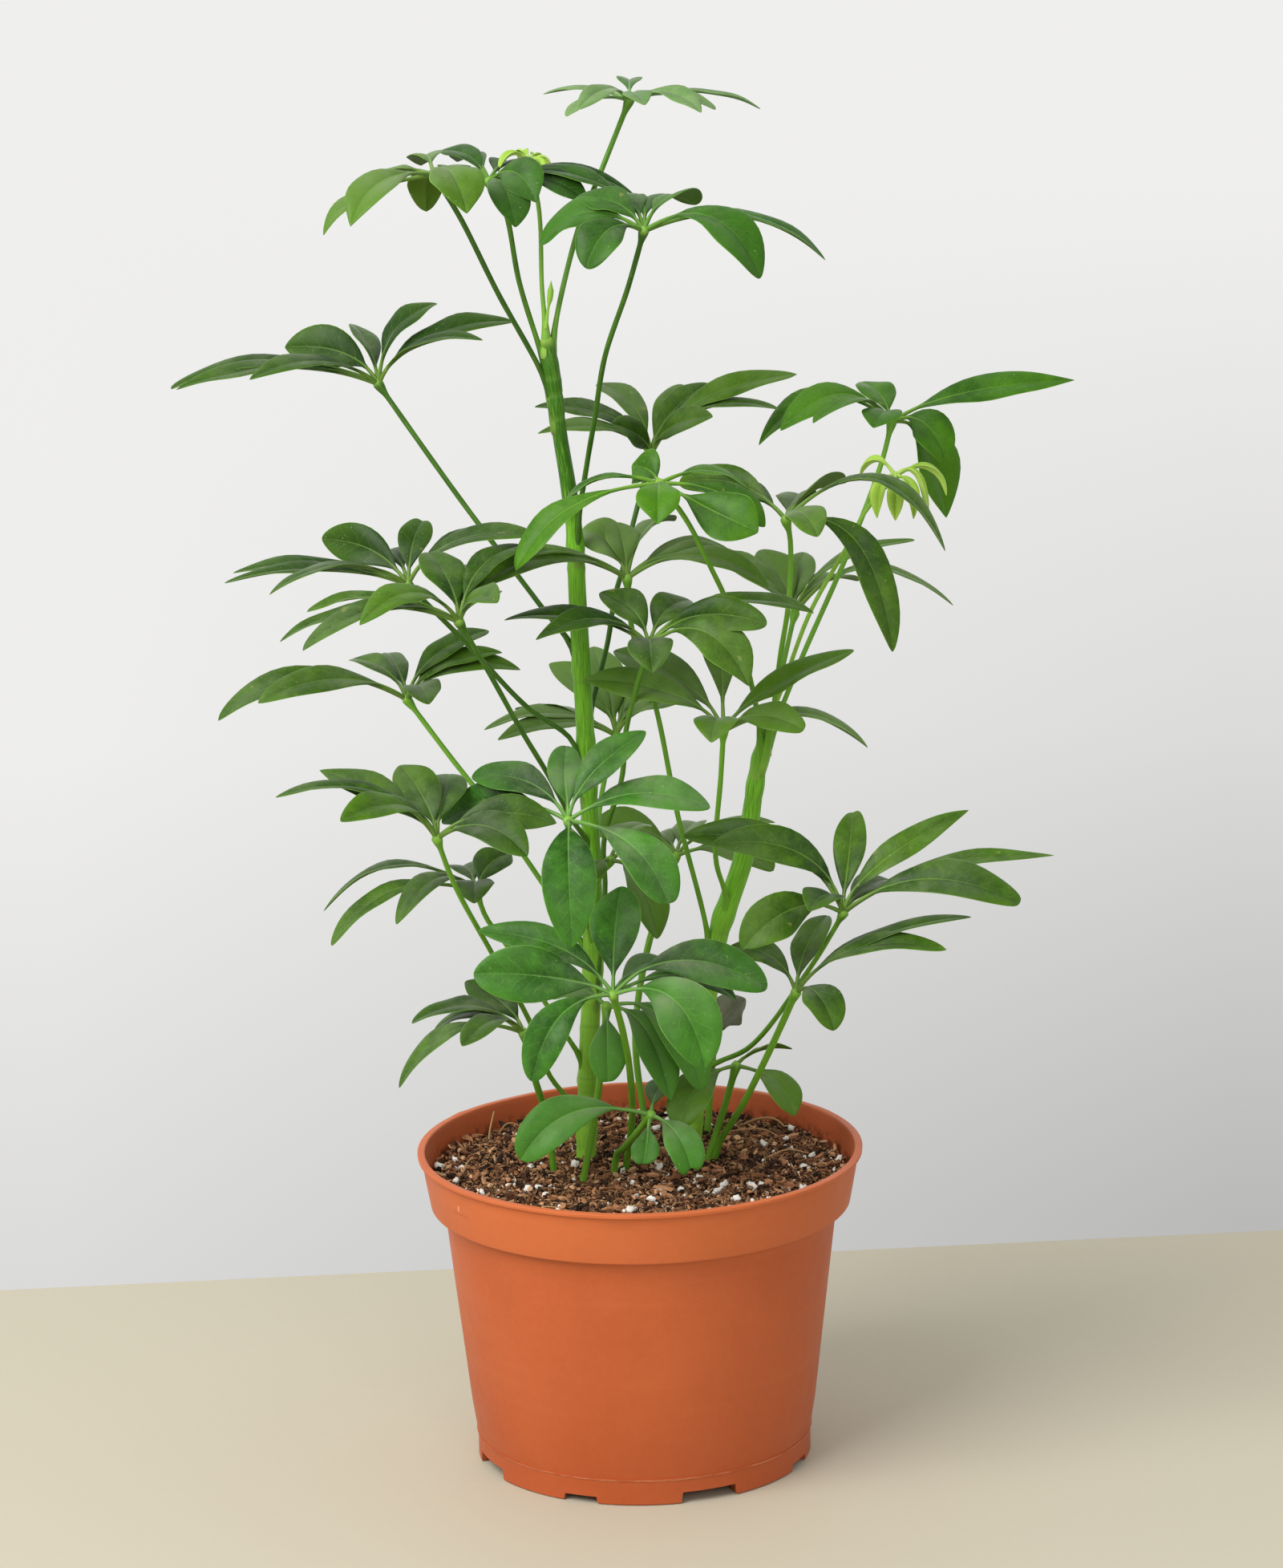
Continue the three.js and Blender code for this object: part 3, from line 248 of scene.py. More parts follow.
        (-11, 20, 19.5, 14.5, 30), (4.5, 26, 17, 13, 2, 14), (44, 8, 24.5, 9, 5, 19), (55.5, -6, 4, 10, 6, 27),
        (-26, 6, 19.5, 11.5, 30, 12), (-30.5, 16, 19.5, 12, 19), (23, 24, 7, 12, 3, 19)]),
    "leaf_back_right": Leaf("stem_second", "leaf", "leaf", 0.65, [
        (31, 25, 188), (28, 12, 210.5), (30, 0, 243), (31, -6, 260)], [
        (-4.5, -26, 3.5, 15, 6, 20), (-47.5, 6, 18, 13, 40, 13), (-37, 34, 22, 15, 39, 14), (-1.5, 38, 30, 13, 0, 23),
        (44.5, 14, 24.5, 12.5, 20, 9), (28, -14, 3, 12, 43, 18), (49.5, 0, -6, 12, 9)]),
    "leaf_low_left": Leaf("stem_main", "leaf", "leaf", 0, [
        (-18, 19, 112), (-31, 11, 133.5), (-37, -4, 157), (-49.5, -20, 187), (-61, -38, 216), (-66, -50, 235)], [
        (-53.5, 4, 16, 12, -2, 18), (-39.5, 18, 21, 14.5, 22, 9), (-30.5, -26, 14, 14.5, 24, 22),
        (-13, 26, 20, 15, 35, 15), (3.5, 32, 14.5, 14.5, -8, 17), (30.5, -20, -1, 15, 36, 18), (39.5, -4, 6, 13, 55)]),
    "leaf_low_left_back": Leaf("stem_main", "leaf", "leaf", 0, [
        (-17, 18, 132), (-25, 13, 147.5), (-34.5, 11, 164), (-45, 11, 181), (-52, 10, 191.5), (-55, 10, 201)], [
        (-54, 4, -7, 12, 5, 23), (-49.5, -14, -15, 11, 19, 20), (-27, -24, -4.5, 12.5, 13, 28),
        (-6.5, 26, 2, 13, 2, 13), (0, -26, 3.5, 14, 1), (11.5, 16, 9.5, 13.5, 29, 14)]),
    "leaf_low_front": Leaf("mix", "front", "front", -0.15, [
        (-5, 4, 101), (-2.5, -4, 121.5), (-3, -27, 147), (-5, -42, 164.5), (-8, -58, 182)], [
        (-44.5, 12, 20, 12, 40, 13), (-46, -2, 9, 19.5, 65, 7), (-27.5, -16, -25, 14, 66, 29), (3, 16, 33, 17.5, 21),
        (51.5, -2, 2.5, 16, 58, 23), (30.5, -17, -20.5, 21, 60, 35), (18.5, 22, 5, 11.5, 12),
        (42.5, 12, -5.5, 10.5, 33)]),
    "leaf_low_centre": Leaf("mix", "front", "front", 0.75, [
        (-20, -10, 101), (-15.5, -11, 124), (-12.5, -15, 146.5), (-10.5, -18, 166.5)], [
        (-23.5, 8, 3.5, 12, 36), (0, -9, -25.5, 13, 20, 23), (21.5, -6, -31.5, 15, 51, 33),
        (33, -5, -30, 14.5, 48, 34)]),
    "leaf_basal_front": Leaf("mix", "front", "front", 0, [(-9, 2, 101), (-8, -1, 108), (-5, -8, 113), (4, -20, 128)], [
        (-45, -10, -12, 16, 60), (-3, -10, -15, 10, 0, 8), (14, -18, -16, 13, 0), (6, 16, 8, 10, 0)]),
    "leaf_low_right": Leaf("stem_second", "leaf", "leaf", 0.15, [
        (21, 26, 126), (39, 15, 141.5), (60, -12, 178), (70.5, -30, 201.5)], [
        (4.5, 24, 30.5, 11.5, 4), (43, 14, 32.5, 11, 34, 13), (71, 4, 18.5, 9, 21, 8), (60.5, -14, 6.5, 16, 40),
        (-53, 14, 24.5, 13, 49, 20), (-43, 0, 25.5, 13.5, 55, 25), (-35.5, -22, -7, 16.5, 65, 22),
        (-12, -26, 8.5, 13.5, 17, 19), (18, 30, 3.5, 12.5, 15, 10)]),
    "leaf_basal_right": Leaf("mix", "leaf", "leaf", 0.8, [(23, 8, 101), (29, 6, 120), (34, 4, 138)], [
        (-20, -22, -15, 15, 48), (19.5, -14, -13.5, 12.5, 26, 20), (19, 4, 5, 11, -19, 15)]),
    "leaf_right_low": Leaf("mix", "leaf", "leaf", 0, [
        (26, 14, 101), (28, 11, 108), (36, -3, 126), (45, -20, 150), (54, -36, 175.5)], [
        (59, 6, 24.5, 11.5, 6, 11), (52, -6, 16.5, 12, 15), (12.5, -20, -7.5, 15, 24, 30), (11.5, 24, 21, 12, 5, 18),
        (-22, 14, 13, 11.5, 24, 21)]),
    "leaf_basal_left": Leaf("mix", "leaf", "leaf", 0, [
        (-30, 2, 101), (-32, -4, 122), (-36, -14, 141), (-39, -26, 160)], [
        (-39.5, 6, 2, 12, 7, 21), (-31.5, 20, -5, 11.5, 20, 20), (-42, -16, -13.5, 11.5, 6, 24),
        (-20, -26, 3.5, 12.5, 5, 20), (-19.5, 20, 13, 13.5, 31, 14)]),
    "leaf_centre_back": Leaf("stem_main", "leaf", "leaf", 0.7, [(-15, 17, 184), (-15, 2, 201), (-8.5, -6, 215)], [
        (16, -22, -21, 17, -10, 30), (-8, -14, -4.5, 11, 4), (20, 14, -2, 13, 20), (13.5, 22, 7, 12, -3)]),
    "leaf_far_back": Leaf("mix", "leaf", "leaf", 0.5, [
        (2, 58, 101), (-1, 62, 131.5), (3.5, 66, 162), (14.5, 70, 196.5)], [
        (35.5, 6, 11.5, 10.5, 4, 13), (36, -12, -3, 13, 38, 15), (9, 28, 5, 12, -16, 14), (-7, 26, 1.5, 12, 9, 14),
        (-31, 4, 9.5, 13.5, 54, 19)]),
    "leaf_dried": Leaf("mix", "dried", "dried", 0, [(24, 42, 101), (25.5, 43, 119.5), (27, 45, 135)], [
        (11, 4, 14, 13, 40), (-4, 6, 15, 10, 30)]),
}

# Straws and twigs: [right, back, up above the mix] points, radius, tone
TWIGS = [
    ([(-54, 39, -2), (-53, 40, 5), (-51.5, 41, 11)], 0.45, 0.85),
    ([(-50.5, 44, 1), (-47, 45, 4.5), (-43, 45, 3.5), (-41, 44, 0.5)], 0.3, 0.75),
    ([(36, 50, 0), (41, 49, 3), (48, 46, 3.4), (53, 42, 0.5)], 0.5, 0.7),
    ([(30, 40, 0), (36, 35, 2.5), (44, 33, 2.6), (50, 33, 0)], 0.4, 0.6),
    ([(44, 10, 0.6), (52, 14, 2.2), (60, 14, 0.8)], 0.35, 0.8),
    ([(-38, -38, 0.6), (-30, -44, 1.8), (-22, -46, 0.6)], 0.3, 0.7),
    ([(5, -58, 0.5), (14, -60, 1.8), (21, -57, 0.6)], 0.3, 0.6),
    ([(-62, 2, 0.5), (-60, 10, 2), (-57, 18, 0.5)], 0.35, 0.75),
]

# Camera, light and floor, in metres
CAMERA_AT = (2.74 * MM, -1942.02 * MM, 718.53 * MM)
CAMERA_PITCH = 13.83
CAMERA_ROLL = -0.96
CAMERA_LENS = 7274 / 1955 * 36
TABLE_EDGE = ((-0.2463, 0.1834), (0.2507, 0.2304))
TABLE_REACH = 3.0
# How bright the wall is at a height, from -0.5 up to 1
WALL_LIGHT = ((-0.5, 0.6), (-0.35, 0.65), (-0.23, 0.86), (0.12, 0.88), (0.4, 0.95), (1.0, 0.95))


# Shader helpers

def srgb(text):
    """The linear colour of a six-digit sRGB code."""
    parts = [int(text[i:i + 2], 16) / 255 for i in (0, 2, 4)]
    return (*[c / 12.92 if c <= 0.04045 else ((c + 0.055) / 1.055) ** 2.4 for c in parts], 1.0)


class Value:
    """A node's output. Arithmetic on it makes more nodes."""

    def __init__(self, nodes, socket):
        self.nodes, self.socket = nodes, socket

    def __add__(self, other):
        return self.nodes.math("ADD", self, other)

    def __sub__(self, other):
        return self.nodes.math("SUBTRACT", self, other)

    def __rsub__(self, other):
        return self.nodes.math("SUBTRACT", other, self)

    def __mul__(self, other):
        return self.nodes.math("MULTIPLY", self, other)

    def __truediv__(self, other):
        return self.nodes.math("DIVIDE", self, other)

    def __pow__(self, other):
        return self.nodes.math("POWER", self, other)

    def __abs__(self):
        return self.nodes.math("ABSOLUTE", self)


class Nodes:
    """The nodes of a material or a world."""

    def __init__(self, owner):
        owner.use_nodes = True
        self.tree = owner.node_tree

    def put(self, socket, value):
        """Sets a socket to a constant or a colour code, or links a node's output to it."""
        if isinstance(value, Value):
            self.tree.links.new(value.socket, socket)
        else:
            socket.default_value = srgb(value) if isinstance(value, str) else value

    def make(self, kind, *values, inputs=None, **settings):
        made = self.tree.nodes.new("ShaderNode" + kind)
        for key, value in settings.items():
            setattr(made, key, value)
        for key, value in [*enumerate(values), *(inputs or {}).items()]:
            self.put(made.inputs[key], value)
        return made

    def node(self, kind, *values, out=0, **settings):
        return Value(self, self.make(kind, *values, **settings).outputs[out])

    def math(self, operation, *values):
        return self.node("Math", *values, operation=operation)

    def noise(self, vector, scale, detail=3.0, roughness=0.55):
        return self.node("TexNoise", out="Fac",
                         inputs={"Vector": vector, "Scale": scale, "Detail": detail, "Roughness": roughness})

    def parts(self, vector):
        return [Value(self, out) for out in self.make("SeparateXYZ", vector).outputs]

    def combine(self, x, y, z):
        return self.node("CombineXYZ", x, y, z)

    def ramp(self, value, low, high, to_low=0.0, to_high=1.0, smooth=True):
        return self.node("MapRange", value, low, high, to_low, to_high, clamp=True,
                         interpolation_type="SMOOTHSTEP" if smooth else "LINEAR")

    def mix(self, factor, a, b):
        return self.node("Mix", out=2, data_type="RGBA", inputs={0: factor, 6: a, 7: b})


class Shader(Nodes):
    """A Principled material, whose colour is laid on in coats."""

    def __init__(self, name, **constants):
        self.material = bpy.data.materials.new(name)
        super().__init__(self.material)
        self.bsdf = self.tree.nodes["Principled BSDF"]
        self.colour = None
        for key, value in constants.items():
            self.bsdf.inputs[key.replace("_", " ")].default_value = value

    def attribute(self, name, out="Vector"):
        return self.node("Attribute", attribute_name=name, out=out)

    def local(self):
        """The place on the piece, in metres."""
        return self.node("TexCoord", out="Object")

    def tint(self, factor, colour):
        """Lays another colour over the colour so far."""
        self.colour = self.mix(factor, self.colour, colour)

    def finish(self, roughness, height, strength, distance):
        """Links the colour, the roughness and the bumps to the material."""
        bump = self.node("Bump", inputs={"Height": height, "Strength": strength, "Distance": distance})
        for key, value in (("Base Color", self.colour), ("Roughness", roughness), ("Normal", bump)):
            self.put(self.bsdf.inputs[key], value)
        return self.material


# Every leaf and stem vertex carries three attributes. "spot" is millimetres along and across the surface;
# "leaf" is [0 at the midrib to 1 at the margin, 0 at the foot to 1 at the tip, 1 on the underside];
# "tone" is one value for each leaflet, the leaf's shade (partly painted light and shade), a random part and, for plain
# leaves out at the sides, painted shade; or one for each stalk or place on a stem, where it also carries painted light.

# the number after the five colours sets how strong the painted sheen on upward faces is
def blade_material(name, dark, bright, rib, margin, under, sheen_and_bloom=0.0, wilt=0.0):
    s = Shader(name, Subsurface_Weight=0.06, Subsurface_Radius=(0.5, 1.0, 0.15), Subsurface_Scale=0.0008,
               Specular_IOR_Level=0.16, Sheen_Weight=0.12, Sheen_Roughness=0.25, Sheen_Tint=(0.8, 0.95, 0.72, 1.0))
    along, across, _ = s.parts(s.attribute("spot"))
    edge, reach, below = s.parts(s.attribute("leaf"))
    tone = s.attribute("tone", "Fac")
    place = s.local()
    side = abs(across)
    # broad patches of tone, a grey-green painted sheen laid on upward-facing parts (partly a matt waxy film), then a
    # fine mottle
    patches = s.noise(place, 55.0, 3.0)
    mottle = s.noise(place, 800.0, 4.0, 0.7)
    blotch = s.noise(place, 190.0, 3.0, 0.6)
    level = patches * 0.75 + tone * 0.5 + (blotch - 0.5) * 0.5 + (mottle - 0.5) * 0.22
    s.colour = s.mix(s.ramp(level, 0.33, 0.92), dark, bright)
    # painted sheen, in patches, strongest where the blade faces up and towards its foot
    sheen_patches = s.ramp(s.noise(place, 34.0, 4.0, 0.65) + tone * 0.16, 0.44, 0.74)
    up = s.ramp(s.parts(s.node("NewGeometry", out="Normal"))[2], 0.35, 0.95, 0.35, 1.5)
    up *= s.ramp(reach, 0.8, 0.2, 0.7, 1.35)
    s.tint(sheen_patches * up * sheen_and_bloom, "8f9b7c")
    # the blade is thinner towards its tip and its margin and painted brighter there, partly for its younger tissue and
    # partly as painted light shining through the thin blade; towards the hub it is painted darker, as painted shade
    young = s.ramp(reach, 0.45, 1.0) * s.ramp(edge, 0.0, 1.0, 0.5, 1.0)
    s.tint(young * 0.5, bright)
    s.tint(s.ramp(reach, 0.5, 0.2) * 0.4, dark)
    # side veins leave the midrib at a slant, curve towards the tip, and fade before the margin
    wander = (s.noise(s.attribute("spot"), 0.25, 2.0) - 0.5) * 2.4
    slant = side ** 0.85 * 1.15
    phase = (along - slant + wander) / 4.1
    comb = abs(s.math("FRACT", phase) - 0.5)
    vein = s.ramp(comb, 0.42, 0.5) * s.ramp(edge, 0.9, 0.35)
    vein *= s.ramp(reach, LEAFLET_STALK, LEAFLET_STALK + 0.08)
    # the fine net between them
    net = s.node("TexVoronoi", out="Distance", feature="DISTANCE_TO_EDGE",
                 inputs={"Vector": s.attribute("spot"), "Scale": 0.75, "Randomness": 0.9})
    net = s.ramp(net, 0.09, 0.0)
    s.tint(vein * 0.1, rib)
    s.tint(net * 0.05, rib)
    # midrib: pale near the foot, finer and fainter towards the tip
    width = s.ramp(reach, 0.15, 1.0, 0.5, 0.16, smooth=False)
    midrib = s.ramp(side, width, width * 0.3)
    s.tint(midrib * s.ramp(reach, 0.2, 0.95, 0.48, 0.1), rib)
    # underside, a pale line along the margin that is a painted edge highlight, and the stalk that the blade tapers into
    s.tint(s.ramp(below, 0.5, 0.75) * 0.8, under)
    s.tint(s.ramp(edge, 0.96, 0.995) * 0.5, margin)
    s.tint(s.ramp(reach, LEAFLET_STALK + 0.06, LEAFLET_STALK - 0.06) * 0.5, rib)
    # small blemishes
    flecks = s.ramp(s.noise(place, 1300.0, 1.0, 0.4), 0.74, 0.8)
    s.tint(flecks * 0.3, "b4c8a4")
    spots = s.ramp(s.noise(place, 260.0, 2.0, 0.4), 0.735, 0.77)
    s.tint(spots * (0.25 + wilt), "a3a060")
    gloss = s.ramp(s.noise(place, 120.0, 3.0), 0.3, 0.75, 0.34 + wilt / 2, 0.5 + wilt / 2)
    gloss += s.ramp(below, 0.5, 0.75) * 0.14
    relief = vein * -0.5 + net * -0.14 + mottle * 0.06 + s.noise(place, 200.0, 2.0)
    return s.finish(gloss, relief, 0.18, 0.0004)


def stalk_material(name, green, pale, shade, scar="7a7a3c", ends=0.6, streaky=0.15):
    """Stalks and stems: here "spot" is [mm along, cosine and sine round the bar]; "leaf" is [scar, reach, 0]."""
    s = Shader(name, Subsurface_Weight=0.1, Subsurface_Radius=(0.5, 1.0, 0.25), Subsurface_Scale=0.001,
               Specular_IOR_Level=0.25)
    along, cosine, sine = s.parts(s.attribute("spot"))
    mark, reach, fresh = s.parts(s.attribute("leaf"))
    tone = s.attribute("tone", "Fac")
    place = s.local()
    grain = s.combine(along * 0.05, cosine * 3.2, sine * 3.2)
    streaks = s.noise(grain, 2.6, 3.0, 0.6)
    fine = s.noise(s.combine(along * 0.12, cosine * 9.0, sine * 9.0), 2.2, 2.0)
    patches = s.noise(place, 55.0, 2.0)
    level = streaks * 0.75 + patches * 0.3 + tone * 0.6
    s.colour = s.mix(s.ramp(level, 0.5, 1.15), shade, green)
    s.tint(fresh * 0.85, "9cc04e")
    tips = s.math("MAXIMUM", s.ramp(reach, 0.07, 0.0), s.ramp(reach, 0.95, 1.0))
    s.tint(tips * ends, pale)
    s.tint(s.ramp(streaks, 0.54, 0.68) * streaky, pale)
    s.tint(s.ramp(streaks, 0.44, 0.34) * streaky, shade)
    flecks = s.ramp(s.noise(place, 700.0, 2.0, 0.5), 0.64, 0.72)
    s.tint(flecks * 0.08, pale)
    s.tint(mark * 0.75, scar)
    return s.finish(s.ramp(patches, 0.3, 0.7, 0.38, 0.5), fine + streaks * 0.8, 0.15, 0.0003)


def pot_material():
    """The plastic of the pot: "inside" is 1 on the inner face."""
    s = Shader("pot_plastic", Subsurface_Weight=0.05, Subsurface_Radius=(1.0, 0.35, 0.15), Subsurface_Scale=0.002,
               Specular_IOR_Level=0.24)
    place = s.local()
    x, y, z = s.parts(place)
    inner = s.attribute("inside", "Fac")
    outside = 1.0 - inner
    broad = s.noise(place, 18.0, 2.0)
    fine = s.noise(place, 420.0, 3.0, 0.6)
    s.colour = s.mix(s.ramp(broad * 0.7 + fine * 0.3, 0.3, 0.7), "b2562d", "bd5f34")
    # flow marks round the wall, and a ragged bright flash line above the foot
    flow = s.noise(s.combine(x * 8.0, y * 8.0, z * 90.0), 1.6, 3.0, 0.6)
    s.tint(s.ramp(flow, 0.5, 0.8) * 0.14, "cf7444")
    ragged = s.noise(place, 260.0, 3.0, 0.6)
    level_z = z + (ragged - 0.5) * 0.0009
    off = abs(level_z - (FOOT_H + 0.45) * MM)
    flash = s.ramp(off, 0.0003, 0.0001) * outside
    flash *= s.ramp(s.noise(place, 110.0, 2.0), 0.36, 0.58)
    s.tint(flash * 0.75, "e8a880")
    # pale scuffs on the outside, and a slightly different tint on the inner face
    scuffs = s.ramp(s.noise(s.combine(x, y, z * 3.0), 210.0, 4.0, 0.7), 0.68, 0.76)
    s.tint(scuffs * outside * 0.16, "d99a74")
    s.tint(inner * 0.7, "bc5e38")
    # painted shade: the pot darker towards its bottom, inside and out
    s.tint(s.ramp(z, 0.07, 0.0) * 0.3, "98421e")
    # painted highlight: the outside is lighter over the collar band, and the ramp also lightens the top of the wall
    # just under the collar
    s.tint(s.ramp(z, 0.084, 0.092) * outside * 0.24, "d87a44")
    # a faint moulded mark with a pale scratch, under the lip at the front left
    near = s.ramp(y, 0.0, -0.01) * outside
    lines = s.ramp(abs(z - STAMP_AT[1]), 0.00035, 0.0001) * s.ramp(abs(x - STAMP_AT[0]), 0.0032, 0.0026)
    s.tint(lines * near * 0.4, "8a3c1c")
    scratch = s.ramp(abs(x - SCRATCH_AT[0]), 0.0003, 0.0001) * s.ramp(abs(z - SCRATCH_AT[1]), 0.0013, 0.0008)
    s.tint(scratch * near * 0.6, "eeb48c")
    # soil dust inside, thickest near the mix
    dust = s.ramp(z, 0.107, 0.1015) * inner
    dust *= s.ramp(s.noise(place, 300.0, 4.0, 0.7), 0.44, 0.62)
    s.tint(dust * 0.7, "3a241a")
    gloss = s.ramp(s.noise(place, 70.0, 3.0), 0.3, 0.7, 0.42, 0.52)
    return s.finish(gloss, fine * 0.4 + broad * 1.5 + flow * 0.7, 0.2, 0.0004)


def mix_material():
    s = Shader("potting_mix_brown", Specular_IOR_Level=0.25)
    place = s.local()
    tone = s.attribute("tone", "Fac")
    broad = s.noise(place, 60.0, 3.0)
    crumbs = s.noise(place, 800.0, 5.0, 0.75)
    s.colour = s.mix(s.ramp(broad * 0.3 + crumbs * 0.6 + tone * 0.6, 0.42, 1.0), "1c0e07", "b98058")
    s.tint(s.ramp(tone, 0.72, 0.95), "d2a67c")
    return s.finish(s.ramp(crumbs, 0.3, 0.7, 0.82, 0.97), crumbs, 0.7, 0.0009)


def perlite_material():
    s = Shader("perlite_white", Subsurface_Weight=0.15, Subsurface_Radius=(1.0, 1.0, 1.0), Subsurface_Scale=0.001,
               Specular_IOR_Level=0.3)
    place = s.local()
    grit = s.noise(place, 1500.0, 3.0, 0.65)
    stain = s.ramp(s.noise(place, 420.0, 3.0), 0.5, 0.72)
    s.colour = s.mix(grit, "e2dcd2", "fbf9f4")
    s.tint(stain * 0.45, "a8927c")
    return s.finish(s.ramp(grit, 0.3, 0.7, 0.7, 0.9), grit, 0.5, 0.0005)


def straw_material():
    s = Shader("straw_tan", Specular_IOR_Level=0.35)
    place = s.local()
    tone = s.attribute("tone", "Fac")
    along, cosine, sine = s.parts(s.attribute("spot"))
    grain = s.noise(s.combine(along * 0.15, cosine * 3.0, sine * 3.0), 2.0, 3.0)
    s.colour = s.mix(tone, "6b452c", "c39a68")
    s.tint(s.ramp(grain, 0.4, 0.7) * 0.5, "84593a")
    return s.finish(s.ramp(s.noise(place, 300.0), 0.3, 0.7, 0.6, 0.85), grain, 0.4, 0.0004)


def floor_material():
    s = Shader("floor_beige", Specular_IOR_Level=0.2)
    place = s.local()
    s.colour = s.mix(s.noise(place, 1.5, 2.0), "bab4a0", "beb8a5")
    fine = s.noise(place, 300.0, 2.0)
    return s.finish(s.ramp(fine, 0.3, 0.7, 0.6, 0.7), fine, 0.1, 0.0002)


# Mesh building

class Body:
    """Points, faces and per-point values of one piece, in millimetres."""

    def __init__(self):
        self.count = 0
        self.points, self.spots, self.leaves, self.tones, self.faces, self.slots = [], [], [], [], [], []

    def add(self, points, faces, slot=0, spot=(0, 0, 0), leaf=(0, 0, 0), tone=0.5):
        points = np.asarray(points, float)
        n = len(points)
        self.points.append(points)
        self.spots.append(np.broadcast_to(np.asarray(spot, float), (n, 3)))
        self.leaves.append(np.broadcast_to(np.asarray(leaf, float), (n, 3)))
        self.tones.append(np.ones(n) * tone)
        self.faces.extend(tuple(int(i) + self.count for i in face) for face in faces)
        self.slots.extend([slot] * len(faces))
        self.count += n

    def piece(self, name, materials, sharp_deg=None):
        mesh = bpy.data.meshes.new(name)
        mesh.from_pydata((np.concatenate(self.points) * MM).tolist(), [], self.faces)
        for material in materials:
            mesh.materials.append(material)
        mesh.polygons.foreach_set("material_index", self.slots)
        for key, kind, values, field in (("spot", "FLOAT_VECTOR", self.spots, "vector"),
                                         ("leaf", "FLOAT_VECTOR", self.leaves, "vector"),
                                         ("tone", "FLOAT", self.tones, "value")):
            mesh.attributes.new(key, kind, "POINT").data.foreach_set(field, np.concatenate(values).ravel())
        mesh.shade_smooth()
        if sharp_deg:
            mesh.set_sharp_from_angle(angle=math.radians(sharp_deg))
        mesh.update()
        return add_object(name, mesh)


def add_object(name, data):
    made = bpy.data.objects.new(name, data)
    bpy.context.scene.collection.objects.link(made)
    return made


def loft_faces(rows, size):
    """Quads between closed rows of points. They look out when a row runs anticlockwise seen from the last one."""
    faces = []
    for r in range(rows - 1):
        for k in range(size):
            a, b = r * size + k, r * size + (k + 1) % size
            faces.append((a, b, b + size, a + size))
    return faces


def closed_loft(rows, size):
    """The same with a fan over each end, round two more points: the middle of the first row and of the last."""
    faces = loft_faces(rows, size)
    low, high, last = rows * size, rows * size + 1, (rows - 1) * size
    for k in range(size):
        nxt = (k + 1) % size
        faces += [(low, nxt, k), (high, last + k, last + nxt)]
    return faces


def unit(v):
    return v / np.linalg.norm(v, axis=-1, keepdims=True)


def smoothstep(x):
    x = np.clip(x, 0, 1)
    return x * x * (3 - 2 * x)


def smooth_curve(points, steps=40):
    """A centripetal Catmull-Rom curve through the points, as closely spaced points."""
    p = [np.asarray(q, float) for q in points]
    p = [2 * p[0] - p[1], *p, 2 * p[-1] - p[-2]]
    out = [p[1]]
    for a, b, c, d in zip(p, p[1:], p[2:], p[3:]):
        d0, d1, d2 = (np.linalg.norm(v - u) ** 0.5 for u, v in ((a, b), (b, c), (c, d)))
        m1 = ((b - a) / d0 - (c - a) / (d0 + d1) + (c - b) / d1) * d1
        m2 = ((c - b) / d1 - (d - b) / (d1 + d2) + (d - c) / d2) * d1
        for i in range(1, steps + 1):
            t = i / steps
            h = (2 * t**3 - 3 * t**2 + 1, t**3 - 2 * t**2 + t, 3 * t**2 - 2 * t**3, t**3 - t**2)
            out.append(h[0] * b + h[1] * m1 + h[2] * c + h[3] * m2)
    return np.array(out)


def distances(curve):
    """How far along a curve each of its points is."""
    return np.concatenate([[0], np.cumsum(np.linalg.norm(np.diff(curve, axis=0), axis=1))])


def by_length(curve, places):
    """Points of a curve at distances along it."""
    gone = distances(curve)
    return np.stack([np.interp(places, gone, curve[:, i]) for i in range(3)], 1)


def length_of(curve):
    return float(np.linalg.norm(np.diff(curve, axis=0), axis=1).sum())


def bar(body, centres, radii, sides, slot, tone, marks=None, bulge=None, fresh=None):
    """A round bar through the centres, closed at both ends. marks is a scar value for each ring and fresh a new
    growth value; bulge is a function of (ring, angle) that returns extra radius."""
    centres = np.asarray(centres, float)
    n = len(centres)
    tangents = unit(np.gradient(centres, axis=0))
    side = np.cross((0, 1, 0), tangents[0])
    gone = distances(centres)
    points, spots, leaves = [], [], []
    for i, t in enumerate(tangents):
        side = unit(side - t * (side @ t))
        up = np.cross(t, side)
        for turn in np.arange(sides) / sides * TAU:
            r = radii[i] + (bulge(i, turn) if bulge else 0)
            points.append(centres[i] + side * math.cos(turn) * r + up * math.sin(turn) * r)
            spots.append((gone[i], math.cos(turn), math.sin(turn)))
            leaves.append((0 if marks is None else marks[i], i / (n - 1), 0 if fresh is None else fresh[i]))
    points += [centres[0], centres[-1]]
    spots += [(0, 0, 0), (gone[-1], 0, 0)]
    leaves += [(0, 0, 0), (0, 1, 0)]
    body.add(points, closed_loft(n, sides), slot, spots, leaves, tone)


# Leaves

